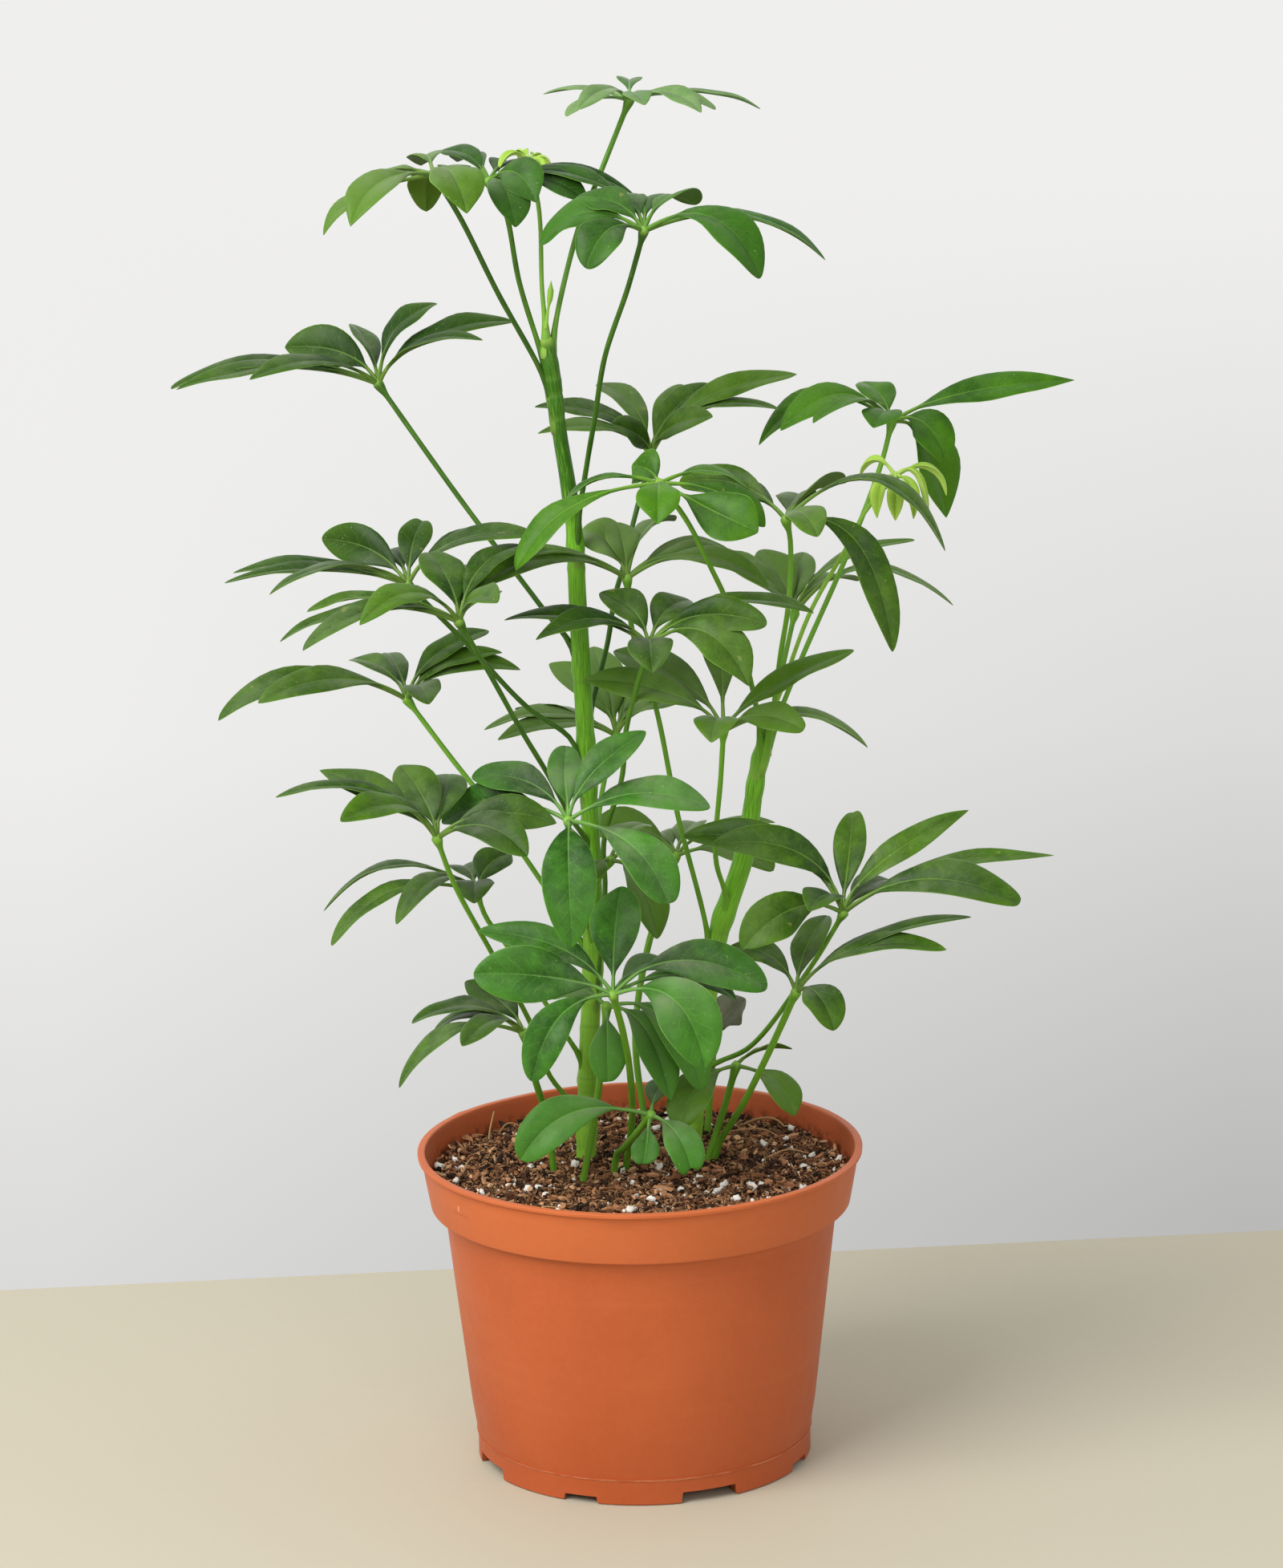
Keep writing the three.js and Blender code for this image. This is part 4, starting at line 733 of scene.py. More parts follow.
def leaflet(body, hub, row, look, rand, special, shade):
    """One leaflet: a slim stalk that opens into an arched blade, folded up along its midrib, with a rounded or
    notched tip, waved margins, a groove over the midrib and the rib proud below."""
    *chord, width, lean = row[:5]
    lean = math.radians(lean)
    chord = np.array(chord, float)
    span = np.linalg.norm(chord)
    steep = chord[2] / span
    at = min(max(BEND_AT - BEND_SHIFT * steep, BEND_RANGE[0]), BEND_RANGE[1])
    share = (row[5] if len(row) > 5 else ARCH - ARCH_HANGING * min(0, steep)) / 100
    p0, p2 = hub, hub + chord
    p1 = hub + chord * at + np.array((0, 0, 2 * share * span))
    kind = LOOKS[look]

    u = np.linspace(0, 1, BLADE_ROWS)
    s_blade = np.sin(math.pi / 2 * u) ** 1.15
    t_all = np.concatenate([np.linspace(0, LEAFLET_STALK, STALK_ROWS, endpoint=False),
                            LEAFLET_STALK + (1 - LEAFLET_STALK) * s_blade])
    # painted shade: plain leaves whose hub is more than 30 mm out to either side take darker random tones
    tone = shade + (rand.random() * 0.5 if abs(hub[0]) > 30 and look == "leaf" else rand.uniform(0.2, 1))
    tip = rand.uniform(*kind["tip"])
    widest = rand.uniform(1.22, 1.5)
    fold = BLADE_FOLD * kind["fold"] * rand.uniform(0.8, 1.3)
    sickle = rand.uniform(-0.03, 0.03) * span
    twist = math.radians(rand.uniform(-9, 9))
    notch = rand.uniform(0.8, 1.5) if rand.random() < kind["notch"] else -rand.uniform(0.0, 0.9)
    lop = rand.uniform(-0.25, 0.25)
    if special:
        tip, notch, lop, turned = special
        lean += math.radians(turned)
    curl = rand.uniform(0, 0.035) * span
    sway = rand.uniform(0.002, 0.006) * span, rand.uniform(1.2, 2.2), rand.uniform(0, TAU)
    waves = [(rand.uniform(0.4, 1.0) * 0.055 * kind["wave"], rand.uniform(1.0, 2.2), rand.uniform(0, TAU))
             for _ in range(2)]

    # one closed ring a row: over the top from left to right, then back along the underside
    v = np.array([-a for a in BLADE_ACROSS[:0:-1]] + list(BLADE_ACROSS))
    m = len(v)
    return_run = slice(m - 2, 0, -1)
    points, spots, leaves = [], [], []
    for t in t_all:
        s = max(0.0, (t - LEAFLET_STALK) / (1 - LEAFLET_STALK))
        centre = (1 - t) ** 2 * p0 + 2 * t * (1 - t) * p1 + t * t * p2
        tangent = unit(2 * (1 - t) * (p1 - p0) + 2 * t * (p2 - p1))
        sky = unit(np.array((0, 0, 1.0)) - tangent * tangent[2])
        light = np.array((0, -1.0, 0)) + tangent * tangent[1]
        normal = unit(sky * math.cos(lean) + light * math.sin(lean))
        side = np.cross(normal, tangent)
        turn = twist * s
        normal, side = (normal * math.cos(turn) + side * math.sin(turn),
                        side * math.cos(turn) - normal * math.sin(turn))
        centre = centre + side * sickle * math.sin(math.pi * s)
        centre = centre + normal * (sway[0] * s * math.sin(TAU * sway[1] * s + sway[2]) - curl * s**5)
        open_ = smoothstep(s / 0.14)
        bow = s ** widest
        half = 0.5 * width * max(0.0, math.sin(math.pi * bow)) ** (0.75 if bow < 0.5 else tip)
        stalk = LEAFLET_STALK_R * (1.15 - 0.3 * t / LEAFLET_STALK if t < LEAFLET_STALK else 0.85)
        half = max(half, stalk * (1 - 0.75 * smoothstep((s - 0.5) / 0.3)))
        across = half * v
        wave = np.where(v < 0, *(size * math.sin(TAU * rate * s + start) for size, rate, start in waves))
        raise_ = fold * half * (2.0 * np.abs(v) - 1.25 * v * v) * open_ + wave * half * 2 * v * v * open_
        closing = math.sqrt(max(0.0, 1 - s ** 24))
        round_ = stalk * np.sqrt(np.maximum(0, 1 - v * v))
        thin = (0.2 + 0.12 * (1 - s)) * np.sqrt(np.maximum(0, 1 - np.abs(v) ** 7))
        groove = 0.16 * np.exp(-(across / 0.5) ** 2) * (1 - 0.6 * s)
        rib = (0.42 - 0.3 * s) * np.exp(-(across / 0.62) ** 2)
        top = raise_ + ((1 - open_) * round_ + open_ * (thin - groove)) * closing
        under = raise_ - ((1 - open_) * round_ + open_ * (thin + rib)) * closing
        back = notch * np.exp(-(across / (0.14 * width)) ** 2) * smoothstep((s - 0.82) / 0.18) + lop * across * s**5
        base = centre + side * across[:, None] - tangent * back[:, None]
        edge = np.maximum(np.abs(v) * open_ if s > 0 else v * 0, smoothstep((s - 0.985) / 0.015))
        spot = np.stack([t * span - back, across, v * 0], 1)
        leaf = np.stack([edge, np.full_like(v, t), v * 0], 1)
        points += [base + normal * top[:, None], (base + normal * under[:, None])[return_run]]
        spots += [spot, spot[return_run]]
        leaves += [leaf, leaf[return_run] + (0, 0, 1)]
    rows, ring = len(t_all), 2 * m - 2
    faces = [f[::-1] for f in loft_faces(rows, ring)]
    for base, flip in ((0, False), ((rows - 1) * ring, True)):
        for k in range(m - 1):
            corners = [k, k + 1, ring - k - 1, (ring - k) % ring]
            if k == 0:
                corners.pop()
            if k == m - 2:
                del corners[2]
            face = tuple(base + i for i in corners)
            faces.append(face[::-1] if flip else face)
    body.add(np.concatenate(points), faces, 0, np.concatenate(spots), np.concatenate(leaves), tone)


def stem_at(name, z):
    """Axis point and radius of a stem at a height."""
    route = STEMS[name]
    above = next((i for i, p in enumerate(route) if p[2] >= z), len(route) - 1)
    low, high = route[max(0, above - 1)], route[max(1, above)]
    part = (z - low[2]) / (high[2] - low[2])
    return np.array([a + (b - a) * part for a, b in zip(low, high)])


def is_shoot(leaf):
    """Whether the leaf grows from the very top of its stem."""
    return leaf.on != "mix" and leaf.path[0][2] > STEMS[leaf.on][-1][2]


def stalk_path(leaf):
    """A leaf's stalk from inside its stem, or from the mix, to the hub."""
    root, *points = (np.array(p, float) for p in leaf.path)
    if leaf.on == "mix":
        slope = (root - points[0]) / (points[0][2] - root[2])
        return [root + slope * (root[2] - BURIED_Z), root, *points]
    if is_shoot(leaf):
        return [root - (0, 0, 9), root, *points]
    *axis, radius = stem_at(leaf.on, min(root[2] + 4, STEMS[leaf.on][-1][2]))
    away = (points[0] - axis) * (1, 1, 0)
    away /= np.linalg.norm(away)
    *low, radius_low = stem_at(leaf.on, root[2] - 12)
    return [low + away * radius_low * 0.2, axis + away * (radius * 0.7 + 0.3), *points]


def leaf_piece(name, leaf, materials):
    rand = random.Random(name)
    body = Body()
    hub = np.array(leaf.path[-1], float)
    path = stalk_path(leaf)
    curve = smooth_curve([*path, hub + unit(path[-1] - path[-2]) * 1.6])
    total = length_of(curve)
    in_mix, shoot = leaf.on == "mix", is_shoot(leaf)
    slim = 0.85 if leaf.look == "young" else 1.0
    base_r = (STALK_MIX_R if in_mix else STALK_BASE_R * 1.25) * slim
    if shoot and leaf.on == "stem_main":
        base_r = SHOOT_BASE_R
    stalk_r = (STALK_R + (0.15 if in_mix else -0.15)) * slim
    foot = 18 if in_mix or shoot else 26
    neck = total - HUB_REACH
    places = np.unique(np.concatenate([np.linspace(0, foot, 7), np.linspace(foot, neck, int(total / 4.5)),
                                       np.linspace(neck, total, 6)]))
    radii = []
    for d in places:
        r = stalk_r + (base_r - stalk_r) * (1 - smoothstep(d / foot))
        r += (HUB_R * slim - stalk_r) * smoothstep((d - total + HUB_REACH) / 6)
        if d > total - 0.6:
            r *= 0.6
        radii.append(r * (1 + 0.02 * math.sin(d * 0.4 + rand.uniform(0, 0.5))))
    tone = rand.random() * 0.35 + (0.6 if leaf.on == "stem_second" else 0.65 * smoothstep((330 - hub[2]) / 90))
    bar(body, by_length(curve, places), radii, STALK_SIDES, 1, tone)
    for i, row in enumerate(leaf.leaflets):
        leaflet(body, hub, row, leaf.look, random.Random(f"{name} {i}"), SPECIAL.get((name, i)), leaf.shade)
    return body.piece(name + "_look", materials)


# Stems

def stem_piece(name, materials):
    main = name == "stem_main"
    curve = smooth_curve([p[:3] for p in STEMS[name]])
    rand = random.Random(name)
    centres = by_length(curve, np.arange(0, length_of(curve), 1.0))
    heights = centres[:, 2]
    roots = [leaf.path[0][2] for leaf in LEAVES.values() if leaf.on == name]
    nodes = sorted(z for z in roots if z < STEMS[name][-1][2] - 4)
    radii, marks = [], []
    for h in heights:
        slim = 1
        for z, reach, share in STEM_SLIM[name]:
            slim -= share * smoothstep((h - z) / reach)
        r = stem_at(name, h)[3] * slim
        mark = 0.0
        # a swelling and a ring at the foot of each leaf, and at each old scar
        for z in nodes:
            r += 0.42 * math.exp(-((h - z + 2) / 3.2) ** 2)
            line = 0.7 * math.exp(-((h - z + 6.5) / 0.55) ** 2)
            r -= 0.12 * line
            mark = max(mark, line)
        for z in SCARS[name]:
            line = 0.6 * math.exp(-((h - z) / 0.6) ** 2)
            r += 0.2 * math.exp(-((h - z + 1.5) / 1.6) ** 2) - 0.12 * line
            mark = max(mark, line)
        radii.append(r)
        marks.append(mark)
    wobble = [rand.uniform(0, TAU) for _ in range(3)]

    def bulge(i, turn):
        z = heights[i]
        soft = 0.09 * math.sin(2 * turn + z * 0.05 + wobble[0]) + 0.05 * math.sin(3 * turn - z * 0.08 + wobble[1])
        for z0, heading, height, reach in SHEATHS[name]:
            facing = max(0.0, math.cos(turn - heading))
            soft += height * facing**2 * math.exp(-((z - z0) / reach) ** 2)
        return soft

    for k, share in STEM_END:
        radii[k] *= share
    if not main:
        radii = [r * (1 - 0.3 * smoothstep(1 - (len(radii) - i) / 12)) for i, r in enumerate(radii)]
    body = Body()
    fresh = 0.4 * smoothstep((200 - heights) / 40)
    if main:
        fresh = fresh + smoothstep((heights - 391) / 5)
    # lighter towards the foot: partly the stem's own colour, partly painted light
    light = 0.1
    for z, reach, share in STEM_TONE_AND_PAINTED_LIGHT:
        light = light + share * smoothstep((z - heights) / reach)
    tone = np.append(np.repeat(light, STEM_SIDES), (0.9, 0.1))
    bar(body, centres, radii, STEM_SIDES, 0, tone, marks, bulge, fresh)
    if main:
        bud(body)
    return body.piece(name + "_look", materials)


def bud(body):
    """The small pointed bud beside the youngest shoot."""
    path = smooth_curve(BUD_PATH)
    places = np.linspace(0, length_of(path), 16)
    bar(body, by_length(path, places), np.interp(np.linspace(0, 1, 16), *BUD_SHAPE), 10, 1, 0.9)


# The pot

def rounded(profile, corners):
    """A profile with the named corners replaced by short curves."""
    out = []
    profile = [np.array(p, float) for p in profile]
    for i, p in enumerate(profile):
        size = corners.get(i)
        if not size:
            out.append(tuple(p))
            continue
        a, b = profile[i - 1] - p, profile[(i + 1) % len(profile)] - p
        a *= min(size / np.linalg.norm(a), 0.45)
        b *= min(size / np.linalg.norm(b), 0.45)
        out += [tuple(p + a * (1 - t) ** 2 + b * t * t) for t in (0, 0.25, 0.5, 0.75, 1)]
    return out


def pot_profile():
    """The pot's section as [radius, height], from the middle of the underside out, up, over the lip and back."""
    foot_top = FOOT_H + STEP_RISE
    floor_top = CHANNEL_H + FLOOR_T
    inner_r = COLLAR_TOP_R - POT_WALL
    foot = rounded([
        (0, 0), (DISC_R, 0), (CHANNEL_R, CHANNEL_H), (FOOT_R - FOOT_WALL - STEP_RISE, CHANNEL_H),
        (FOOT_R - FOOT_WALL, 0), (FOOT_R, 0), (FOOT_R, FOOT_H - 0.5), (FOOT_R + 0.12, FOOT_H), (WALL_FOOT_R, foot_top),
    ], {1: 0.6, 2: 0.8, 3: 0.6, 4: 0.4, 5: 0.5, 8: 0.5})
    wall = [(WALL_FOOT_R + (WALL_TOP_R - WALL_FOOT_R) * k / WALL_STEPS,
             FOOT_H + STEP_RISE + (WALL_TOP_Z - FOOT_H - STEP_RISE) * k / WALL_STEPS) for k in range(1, WALL_STEPS + 1)]
    # the collar's flat underside meets the wall
    shoulder = [(WALL_TOP_R + (COLLAR_R - WALL_TOP_R) * out, WALL_TOP_Z + (COLLAR_Z - WALL_TOP_Z) * up)
                for out, up in SHOULDER]
    lip = rounded([
        (COLLAR_TOP_R, COLLAR_TOP_Z), (COLLAR_TOP_R + LIP_OUT, POT_H - 2), (RIM_R - 0.2, POT_H - 1.6),
        (RIM_R, POT_H - 0.2), (RIM_R - 2.6, POT_H), (RIM_R - 3, POT_H - 1.4), (inner_r, COLLAR_TOP_Z),
    ], {1: 0.25, 2: 0.3, 3: 0.4, 4: 0.5, 5: 0.6})
    inner = [
        (inner_r, COLLAR_TOP_Z - STEP_RISE), (COLLAR_R - POT_WALL, COLLAR_Z + STEP_RISE),
        (WALL_TOP_R - POT_WALL, WALL_TOP_Z + STEP_RISE), (WALL_FOOT_R - POT_WALL, foot_top),
        (FOOT_R - FOOT_WALL, floor_top), (CHANNEL_R - 0.75, floor_top), (DISC_R - 0.75, FLOOR_T), (0, FLOOR_T),
    ]
    return foot + wall + shoulder + lip + inner


BLOCK_FACES = [(3, 2, 1, 0), (4, 5, 6, 7), (0, 1, 5, 4), (1, 2, 6, 5), (2, 3, 7, 6), (3, 0, 4, 7)]


def block(out, aside, near, far, left, right, low, high):
    """A block at the pot's foot: its sides lean from the first number at the bottom to the second at the top."""
    points = []
    for k, up in enumerate((low, high)):
        for r, across in ((near, left[k]), (far, left[k]), (far, right[k]), (near, right[k])):
            points.append(out * r + aside * across + (0, 0, up))
    return points, BLOCK_FACES


def pot_piece(material):
    profile = pot_profile()
    body = Body()
    points = []
    for r, z in profile[1:-1]:
        # the lip and collar are very slightly out of round, as moulded pots are
        sway = 0.12 * smoothstep((z - 60) / 50)
        for a in np.arange(POT_SIDES) / POT_SIDES * TAU:
            rr = r * (1 + 0.0009 * math.sin(2 * a + 0.6)) + sway * math.sin(3 * a + 1.1) * 0.6
            zz = z + (0.1 * math.sin(5 * a) * smoothstep((z - 105) / 5))
            # small nicks and scraps of flash on the lip
            nick = noise.noise(Vector((9 * math.cos(a), 9 * math.sin(a), 0.5 * z)))
            if z > POT_H - 2.2 and r > COLLAR_TOP_R:
                rr += 0.5 * max(0.0, nick - 0.3) - 0.35 * max(0.0, -nick - 0.4)
                zz += 0.35 * max(0.0, nick - 0.35) - 0.3 * max(0.0, -nick - 0.4)
            points.append((rr * math.cos(a), rr * math.sin(a), zz))
    points += [(0, 0, profile[0][1]), (0, 0, profile[-1][1])]
    body.add(points, closed_loft(len(profile) - 2, POT_SIDES))
    pot = body.piece("pot_look", [material])

    cutters, ribs = Body(), Body()
    for i in range(NOTCH_COUNT):
        deep = i % 2 == 0
        width, height = NOTCH_DEEP if deep else NOTCH_SHALLOW
        heading = (i + 0.5) / NOTCH_COUNT * TAU - math.pi / 2
        out = np.array((math.cos(heading), math.sin(heading), 0))
        aside = np.array((-math.sin(heading), math.cos(heading), 0))
        # a notch is a little wider at its mouth
        mouth, roof = width / 2 + NOTCH_FLARE, width / 2 - 0.2
        cutters.add(*block(out, aside, FOOT_R - NOTCH_REACH, FOOT_R + NOTCH_REACH, (-mouth, -roof), (mouth, roof),
                           -1, height))
        drain = []
        for up in (CHANNEL_H - 2, CHANNEL_H + FLOOR_T + 2):
            for k in range(DRAIN_SIDES):
                a = k / DRAIN_SIDES * TAU
                drain.append(out * (DRAIN_AT_R + DRAIN_R * math.cos(a)) + aside * DRAIN_R * math.sin(a) + (0, 0, up))
        ends = [tuple(range(DRAIN_SIDES - 1, -1, -1)), tuple(range(DRAIN_SIDES, 2 * DRAIN_SIDES))]
        cutters.add(drain, [*loft_faces(2, DRAIN_SIDES), *ends])
        # the foot turns inwards beside a deep notch
        for hand in (-1, 1) if deep else ():
            inner, outer = sorted((hand * mouth, hand * (width / 2 + NOTCH_FLARE + RIB_T)))
            ribs.add(*block(out, aside, FOOT_R - 7, FOOT_R - FOOT_WALL - 0.1, (inner, inner), (outer, outer),
                            0.25, CHANNEL_H + 0.3))
    tool = cutters.piece("pot_cutters", [material])
    cut = pot.modifiers.new("cut", "BOOLEAN")
    cut.operation = "DIFFERENCE"
    cut.object = tool
    cut.solver = "EXACT"
    settle(pot)
    bpy.data.objects.remove(tool)
    mark_inside(pot.data)
    pot.data.set_sharp_from_angle(angle=math.radians(38))
    return pot, ribs.piece("pot_foot_ribs", [material], sharp_deg=30)


def mark_inside(mesh):
    """Marks the pot's inner face for its material."""
    places = np.zeros(len(mesh.vertices) * 3)
    mesh.vertices.foreach_get("co", places)
    x, y, z = places.reshape(-1, 3).T / MM
    wall = np.interp(z, (0, FOOT_H, FOOT_H + STEP_RISE, WALL_TOP_Z, COLLAR_Z, COLLAR_TOP_Z, POT_H - 2, POT_H),
                     (FOOT_R, FOOT_R, WALL_FOOT_R, WALL_TOP_R, COLLAR_R, COLLAR_TOP_R, COLLAR_TOP_R + LIP_OUT,
                      COLLAR_TOP_R + 0.2))
    inside = (np.hypot(x, y) < wall - POT_WALL * 0.5) & (z > FLOOR_T - 0.1)
    mesh.attributes.new("inside", "FLOAT", "POINT").data.foreach_set("value", inside.astype(float))


def settle(piece):
    """Applies the piece's modifiers to its mesh."""
    graph = bpy.context.evaluated_depsgraph_get()
    mesh = bpy.data.meshes.new_from_object(piece.evaluated_get(graph))
    piece.modifiers.clear()
    piece.data = mesh
    mesh.shade_smooth()


# The potting mix

def mix_height(x, y):
    """Height of the mix's surface: the solid's relief."""
    offset = math.hypot(x - MOUND[0], y - MOUND[1]) / MOUND[2]
    height = MIX_Z + MOUND[3] * math.exp(-offset * offset)
    height += SWELL[0] * math.sin(x * SWELL[1]) * math.cos(y * SWELL[1])
    height += CLODS[0] * math.sin((x + y / 2) * CLODS[1]) * math.sin((y - x / 4) * CLODS[1])
    return height


def fine_height(x, y):
    """The same with crumbs."""
    place = Vector((x * 0.16, y * 0.16, 3.1))
    small = Vector((x * 0.55, y * 0.55, 7.7))
    return mix_height(x, y) + 1.2 * noise.noise(place) + 1.1 * noise.noise(small) - 0.3


def mix_piece(material):
    body = Body()
    floor = FLOOR_T + GAP
    rings = [(DISC_R - 1, floor), (CHANNEL_R - 1, CHANNEL_H + floor), (FOOT_R - FOOT_WALL - 1, CHANNEL_H + floor),
             (WALL_FOOT_R - POT_WALL - GAP, FOOT_H + 1), (WALL_TOP_R - POT_WALL - GAP, WALL_TOP_Z + 1),
             (COLLAR_R - POT_WALL - GAP, COLLAR_Z + 1)]
    rings += [(MIX_R * ring / MIX_RINGS, None) for ring in range(MIX_RINGS, 0, -1)]
    points = []
    for r, z in rings:
        for k in range(MIX_SIDES):
            a = k / MIX_SIDES * TAU
            x, y = r * math.cos(a), r * math.sin(a)
            top = fine_height(x, y) - 1.2 * max(0.0, (r / MIX_R - 0.97) / 0.03) if z is None else z
            points.append((x, y, top))
    points += [(0, 0, floor), (0, 0, fine_height(0, 0))]
    # the surface under the crumbs takes the darkest tone: partly the mix's own dark colour, partly painted shade in the
    # gaps between the crumbs
    body.add(points, closed_loft(len(rings), MIX_SIDES), tone=0.05)
    return body.piece("potting_mix_look", [material])


def icosphere(levels):
    """Points and triangles of a unit icosphere."""
    made = bmesh.new()
    bmesh.ops.create_icosphere(made, subdivisions=levels, radius=1.0)
    points = np.array([v.co[:] for v in made.verts])
    faces = [tuple(v.index for v in f.verts) for f in made.faces]
    made.free()
    return points, faces


PLAIN_GRAIN = icosphere(1)
FINE_GRAIN = icosphere(2)
SLIVER = (np.array([(1, 0, 0), (0, 1, 0), (-1, 0, 0), (0, -1, 0), (0, 0, 1), (0, 0, -1)], float),
          [(0, 1, 4), (1, 2, 4), (2, 3, 4), (3, 0, 4), (1, 0, 5), (2, 1, 5), (3, 2, 5), (0, 3, 5)])


def random_turn(rand, *turns):
    """Random turns, one after another: each is (axis, least angle, greatest angle)."""
    out = Matrix.Identity(3)
    for axis, least, greatest in turns:
        out = out @ Matrix.Rotation(rand.uniform(least, greatest), 3, axis)
    return np.array(out).T


def rock_shape(rand, size, stretch, rough, grain):
    """A small lumpy grain about the origin: points and faces."""
    points, faces = grain
    axes = np.array([rand.uniform(*stretch), rand.uniform(0.55, 1.0), rand.uniform(0.4, 0.8)]) * size / 2
    shift = Vector((rand.uniform(0, 99), rand.uniform(0, 99), rand.uniform(0, 99)))
    lumpy = np.array([p * axes * (1 + rough * noise.noise(Vector(p) * 1.7 + shift)) for p in points])
    return lumpy @ random_turn(rand, ("Z", 0, TAU), ("X", -1.1, 1.1), ("Y", -0.7, 0.7)), faces


# What stands in the mix, as x, y and radius
STANDING = [(at[0], at[1], at[3]) for at in (stem_at(name, MIX_Z) for name in STEMS)]
STANDING += [(*leaf.path[0][:2], STALK_MIX_R) for leaf in LEAVES.values() if leaf.on == "mix"]


def scatter(rand, count, reach, margin):
    """Random places on the mix's surface, clear of what stands in it."""
    found = []
    while len(found) < count:
        a, r = rand.uniform(0, TAU), reach * math.sqrt(rand.random())
        x, y = r * math.cos(a), r * math.sin(a)
        if all(math.hypot(x - px, y - py) >= radius + margin for px, py, radius in STANDING):
            found.append((x, y))
    return found


def sliver_piece(material):
    """The finest bits: thin slivers that stand at all angles."""
    rand = random.Random("slivers")
    body = Body()
    points, faces = SLIVER
    for x, y in scatter(rand, SLIVERS, MIX_R - 0.8, 0.3):
        size = rand.uniform(0.35, 1.0)
        axes = np.array((rand.uniform(0.8, 2.2), rand.uniform(0.5, 0.9), rand.uniform(0.3, 0.7))) * size / 2
        jolt = np.array([[rand.uniform(0.7, 1.3)] * 3 for _ in range(6)])
        shape = (points * jolt * axes) @ random_turn(rand, ("Z", 0, TAU), ("Y", -1.3, 1.3), ("X", 0, TAU))
        body.add(shape + (x, y, fine_height(x, y) + rand.uniform(0, 1.3) * size), faces, tone=rand.random())
    return body.piece("potting_mix_slivers", [material], sharp_deg=30)


def crumb_piece(material):
    rand = random.Random("crumbs")
    body = Body()
    for x, y in scatter(rand, CRUMBS, MIX_R - 1.2, 0.5):
        size = rand.uniform(0.5, 1.6) * (rand.uniform(1.3, 2.3) if rand.random() < 0.18 else 1)
        shape, faces = rock_shape(rand, size, (0.9, 2.5), 0.95, PLAIN_GRAIN)
        lift = rand.uniform(-0.1, 0.85) * size
        body.add(shape + (x, y, fine_height(x, y) + lift), faces, tone=rand.random() ** 1.4)
    return body.piece("potting_mix_crumbs", [material], sharp_deg=50)


def perlite_piece(material):
    rand = random.Random("perlite")
    body = Body()
    for x, y in scatter(rand, PERLITE, MIX_R - 2, 1.2):
        if noise.noise(Vector((x * 0.06, y * 0.06, 1.5))) < rand.uniform(-0.55, 0.45):
            continue
        size = rand.uniform(0.6, 1.9) + (rand.uniform(0.5, 2.2) if rand.random() < 0.33 else 0)
        shape, faces = rock_shape(rand, size, (0.8, 1.3), 0.8, FINE_GRAIN)
        body.add(shape * (1, 1, 1.1) + (x, y, fine_height(x, y) + 0.3 * size), faces, tone=rand.random())
    return body.piece("potting_mix_perlite", [material])


def fibre_piece(material):
    rand = random.Random("fibres")
    body = Body()
    for route, radius, tone in TWIGS:
        curve = smooth_curve([(x, y, mix_height(x, y) + up) for x, y, up in route])
        places = np.linspace(0, length_of(curve), 12)
        taper = np.concatenate([[0.6], np.linspace(1, 0.75, 10), [0.4]])
        bar(body, by_length(curve, places), radius * taper, 7, 0, tone)
    for x, y in scatter(rand, FIBRES, MIX_R - 4, 1.0):
        a, size = rand.uniform(0, TAU), rand.uniform(1.2, 5) * (1.6 if rand.random() < 0.1 else 1)
        bow = rand.uniform(-0.35, 0.35) * size
        dx, dy = math.cos(a), math.sin(a)
        route = []
        for k in (-0.5, 0, 0.5):
            px = x + dx * k * size - dy * bow * (0.25 - k * k)
            py = y + dy * k * size + dx * bow * (0.25 - k * k)
            route.append((px, py, fine_height(px, py) + rand.uniform(0.1, 0.9) + (0.5 if k == 0 else 0)))
        curve = smooth_curve(route, 6)
        places = np.linspace(0, length_of(curve), 6)
        radii = rand.uniform(0.09, 0.22) * np.array([0.5, 1, 1, 1, 0.9, 0.4])
        bar(body, by_length(curve, places), radii, 4, 0, rand.random())
    return body.piece("potting_mix_fibres", [material])


# Assembly

def dress(piece, slot, *nodes):
    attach(piece, "root")
    if nodes:
        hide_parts(*nodes)


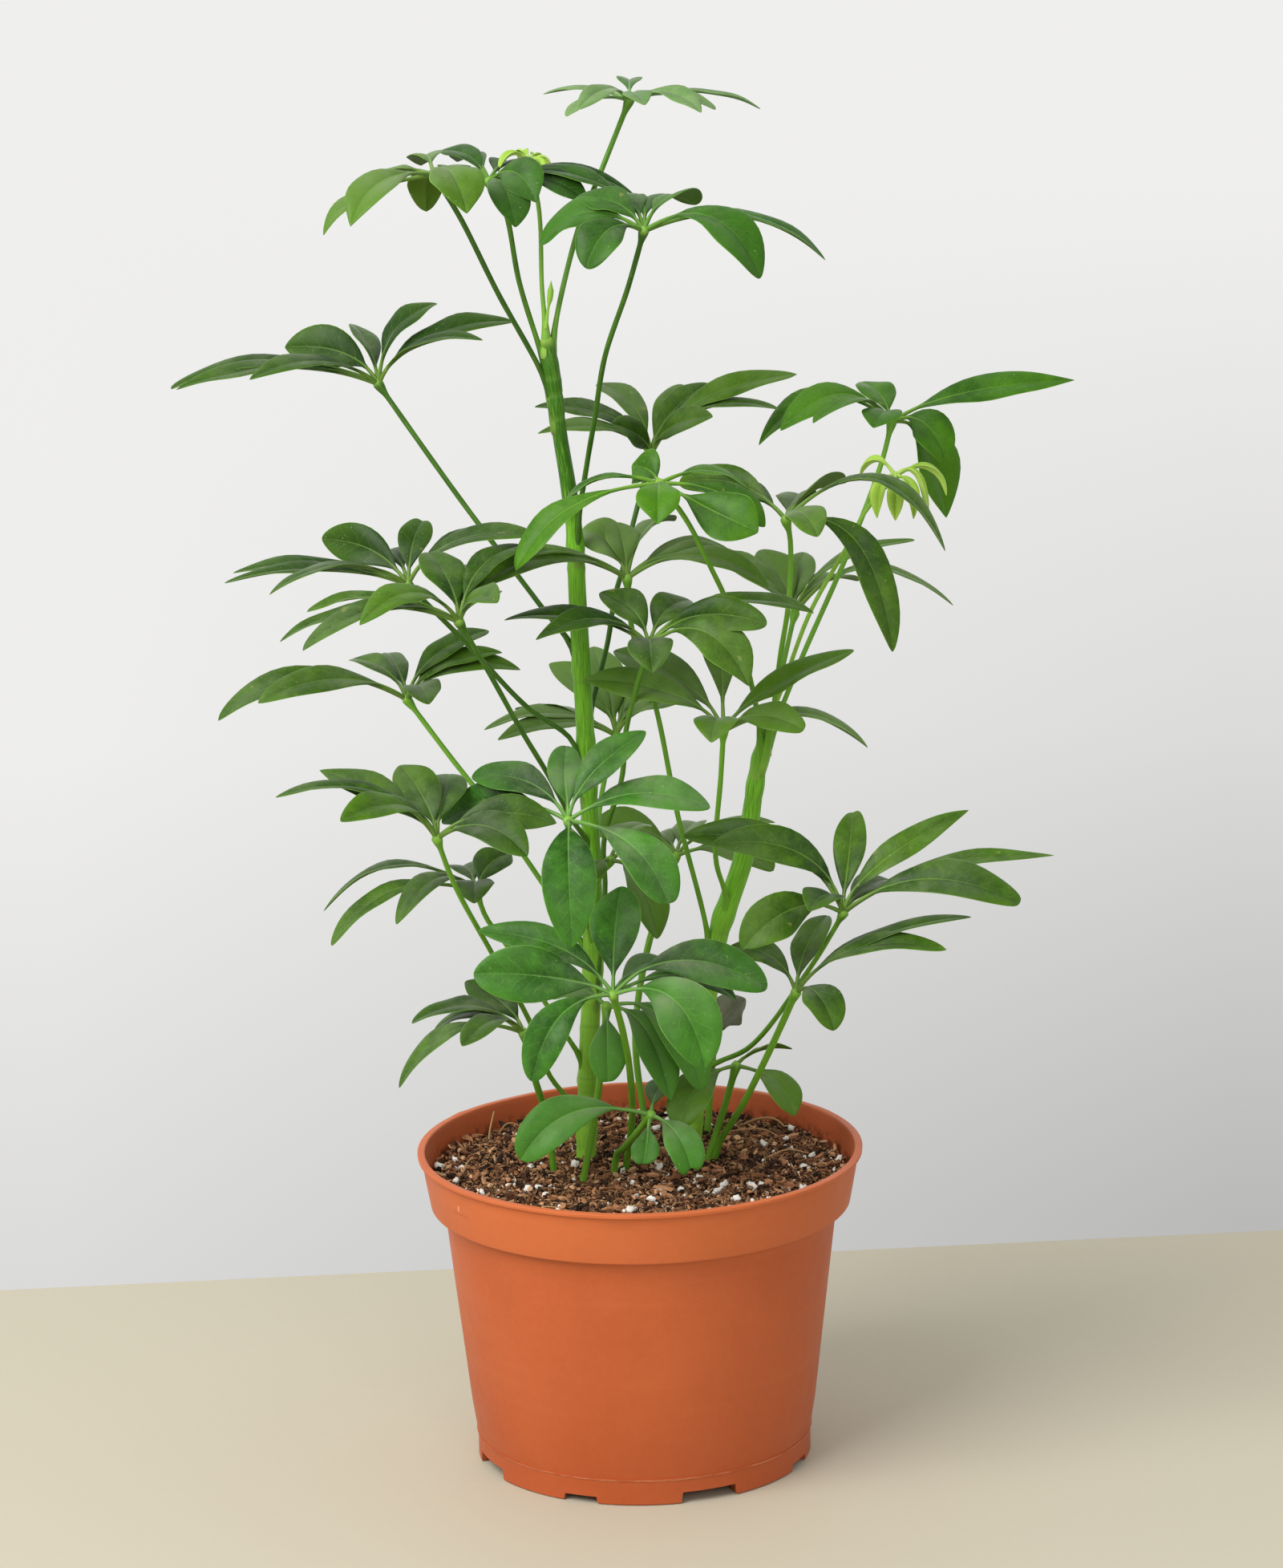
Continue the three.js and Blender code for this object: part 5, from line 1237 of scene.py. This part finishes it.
def build_plant():
    blades = {
        # the number after the colours is the strength of the painted sheen, partly a waxy film
        "leaf": blade_material("leaf_green", "1a3809", "4d7416", "7a9e46", "88b24c", "4e6c1c", 0.21),
        "crown": blade_material("leaf_crown_green", "0f3205", "34660f", "6c9a3c", "80ae44", "40621a", 0.12),
        "front": blade_material("leaf_front_green", "143809", "427e1e", "7eb056", "84b850", "4a6e1e", 0.34),
        "fresh": blade_material("leaf_fresh_green", "204c04", "467a08", "7cac3c", "90ba4a", "4e7a18", 0.08),
        # the top leaf: a lighter copy of the leaf green, painted light as if lit through its thin blades from behind
        "pale": blade_material("leaf_painted_backlit_green", "38622a", "648c46", "88b064", "94b86c", "648a44", 0.5),
        "young": blade_material("leaf_young_lime", "7ea82e", "a0c44c", "b8d076", "c4d882", "a8c860"),
        "dried": blade_material("leaf_dried_grey", "55594a", "7f806c", "9a9880", "a39f84", "706e5a", 0.0, 0.3),
    }
    # a lighter copy of the stalk green for the top leaf's stalk: painted light
    light = stalk_material("stalk_painted_lit_green", "84b83e", "a8cc74", "4a7a22")
    green = stalk_material("stalk_green", "6ca42c", "94c050", "2c540e")
    lime = stalk_material("stalk_lime", "8cbc42", "aed06c", "6ea034")
    bark = stalk_material("stem_green", "74b62a", "98cc50", "32620f", "6c9438", 0.0, 0.3)
    slots = {"leaf": "leaf", "front": "leaf", "fresh": "leaf_fresh", "young": "shoot", "dried": "leaf_dried"}
    for name, leaf in LEAVES.items():
        stalk = {"young": lime, "pale": light}.get(leaf.green, green)
        dress(leaf_piece(name, leaf, [blades[leaf.green], stalk]), slots[leaf.look], name)
    for name in STEMS:
        dress(stem_piece(name, [bark, lime]), "stem", name)
    pot, ribs = pot_piece(pot_material())
    dress(pot, "pot", "pot")
    dress(ribs, "pot")
    brown = mix_material()
    dress(mix_piece(brown), "mix", "potting_mix")
    dress(crumb_piece(brown), "mix")
    dress(sliver_piece(brown), "mix")
    dress(perlite_piece(perlite_material()), "mix")
    dress(fibre_piece(straw_material()), "mix")


def add_camera():
    data = bpy.data.cameras.new("camera")
    data.lens = CAMERA_LENS
    data.sensor_fit = "AUTO"
    data.clip_end = 50
    camera = add_object("camera", data)
    level = Matrix.Rotation(math.radians(90 - CAMERA_PITCH), 4, "X")
    roll = Matrix.Rotation(math.radians(CAMERA_ROLL), 4, "Z")
    camera.matrix_world = Matrix.Translation(CAMERA_AT) @ level @ roll
    bpy.context.scene.camera = camera


def add_area(name, place, aim, size, power, colour):
    data = bpy.data.lights.new(name, "AREA")
    data.shape = "RECTANGLE"
    data.size, data.size_y = size
    data.energy = power
    data.color = colour
    heading = Vector(aim) - Vector(place)
    turn = heading.to_track_quat("-Z", "Y").to_matrix().to_4x4()
    add_object(name, data).matrix_world = Matrix.Translation(place) @ turn


def studio_world():
    """A plain studio: a pale wall all round that darkens a little downwards, and a dimmer ceiling."""
    world = bpy.data.worlds.new("studio")
    w = Nodes(world)
    x, y, z = w.parts(w.node("TexCoord", out="Generated"))
    wall = w.make("ValToRGB", w.ramp(z, WALL_LIGHT[0][0], WALL_LIGHT[-1][0], smooth=False))
    elements = wall.color_ramp.elements
    while len(elements) < len(WALL_LIGHT):
        elements.new(0.5)
    for element, (height, value) in zip(elements, WALL_LIGHT):
        element.position = (height + 0.5) / 1.5
        element.color = (value, value * 0.995, value * 0.985, 1)
    # dimmer in front than behind, and towards the wall's lower right
    corner = w.ramp(x, -0.1, 0.1, 0.0, 0.32, smooth=False) * w.ramp(z, -0.14, -0.31, smooth=False)
    back = w.tree.nodes["Background"]
    w.put(back.inputs["Color"], Value(w, wall.outputs[0]))
    w.put(back.inputs["Strength"], w.ramp(y, -0.4, 0.85, 0.6, 1.0, smooth=False) * (1.0 - corner))
    return world


def add_stage():
    (x0, y0), (x1, y1) = TABLE_EDGE
    slope = (y1 - y0) / (x1 - x0)
    left, right = -TABLE_REACH, TABLE_REACH
    corners = [(left, -TABLE_REACH), (right, -TABLE_REACH), (right, y0 + slope * (right - x0)),
               (left, y0 + slope * (left - x0))]
    mesh = bpy.data.meshes.new("floor")
    mesh.from_pydata([(x, y, -0.0002) for x, y in corners], [], [(0, 1, 2, 3)])
    mesh.materials.append(floor_material())
    floor = add_object("floor", mesh)
    bpy.context.scene.world = studio_world()
    add_area("key", (-1.05, -1.0, 1.45), (0, 0, 0.2), (1.3, 1.3), 40, (1.0, 0.985, 0.955))
    add_area("fill", (0.6, -2.4, 1.1), (0, 0, 0.2), (1.0, 0.8), 12, (1.0, 1.0, 1.0))
    view = bpy.context.scene.view_settings
    view.view_transform = "Standard"
    view.look = "None"


build_plant()
add_stage()
add_camera()
bpy.context.view_layer.update()
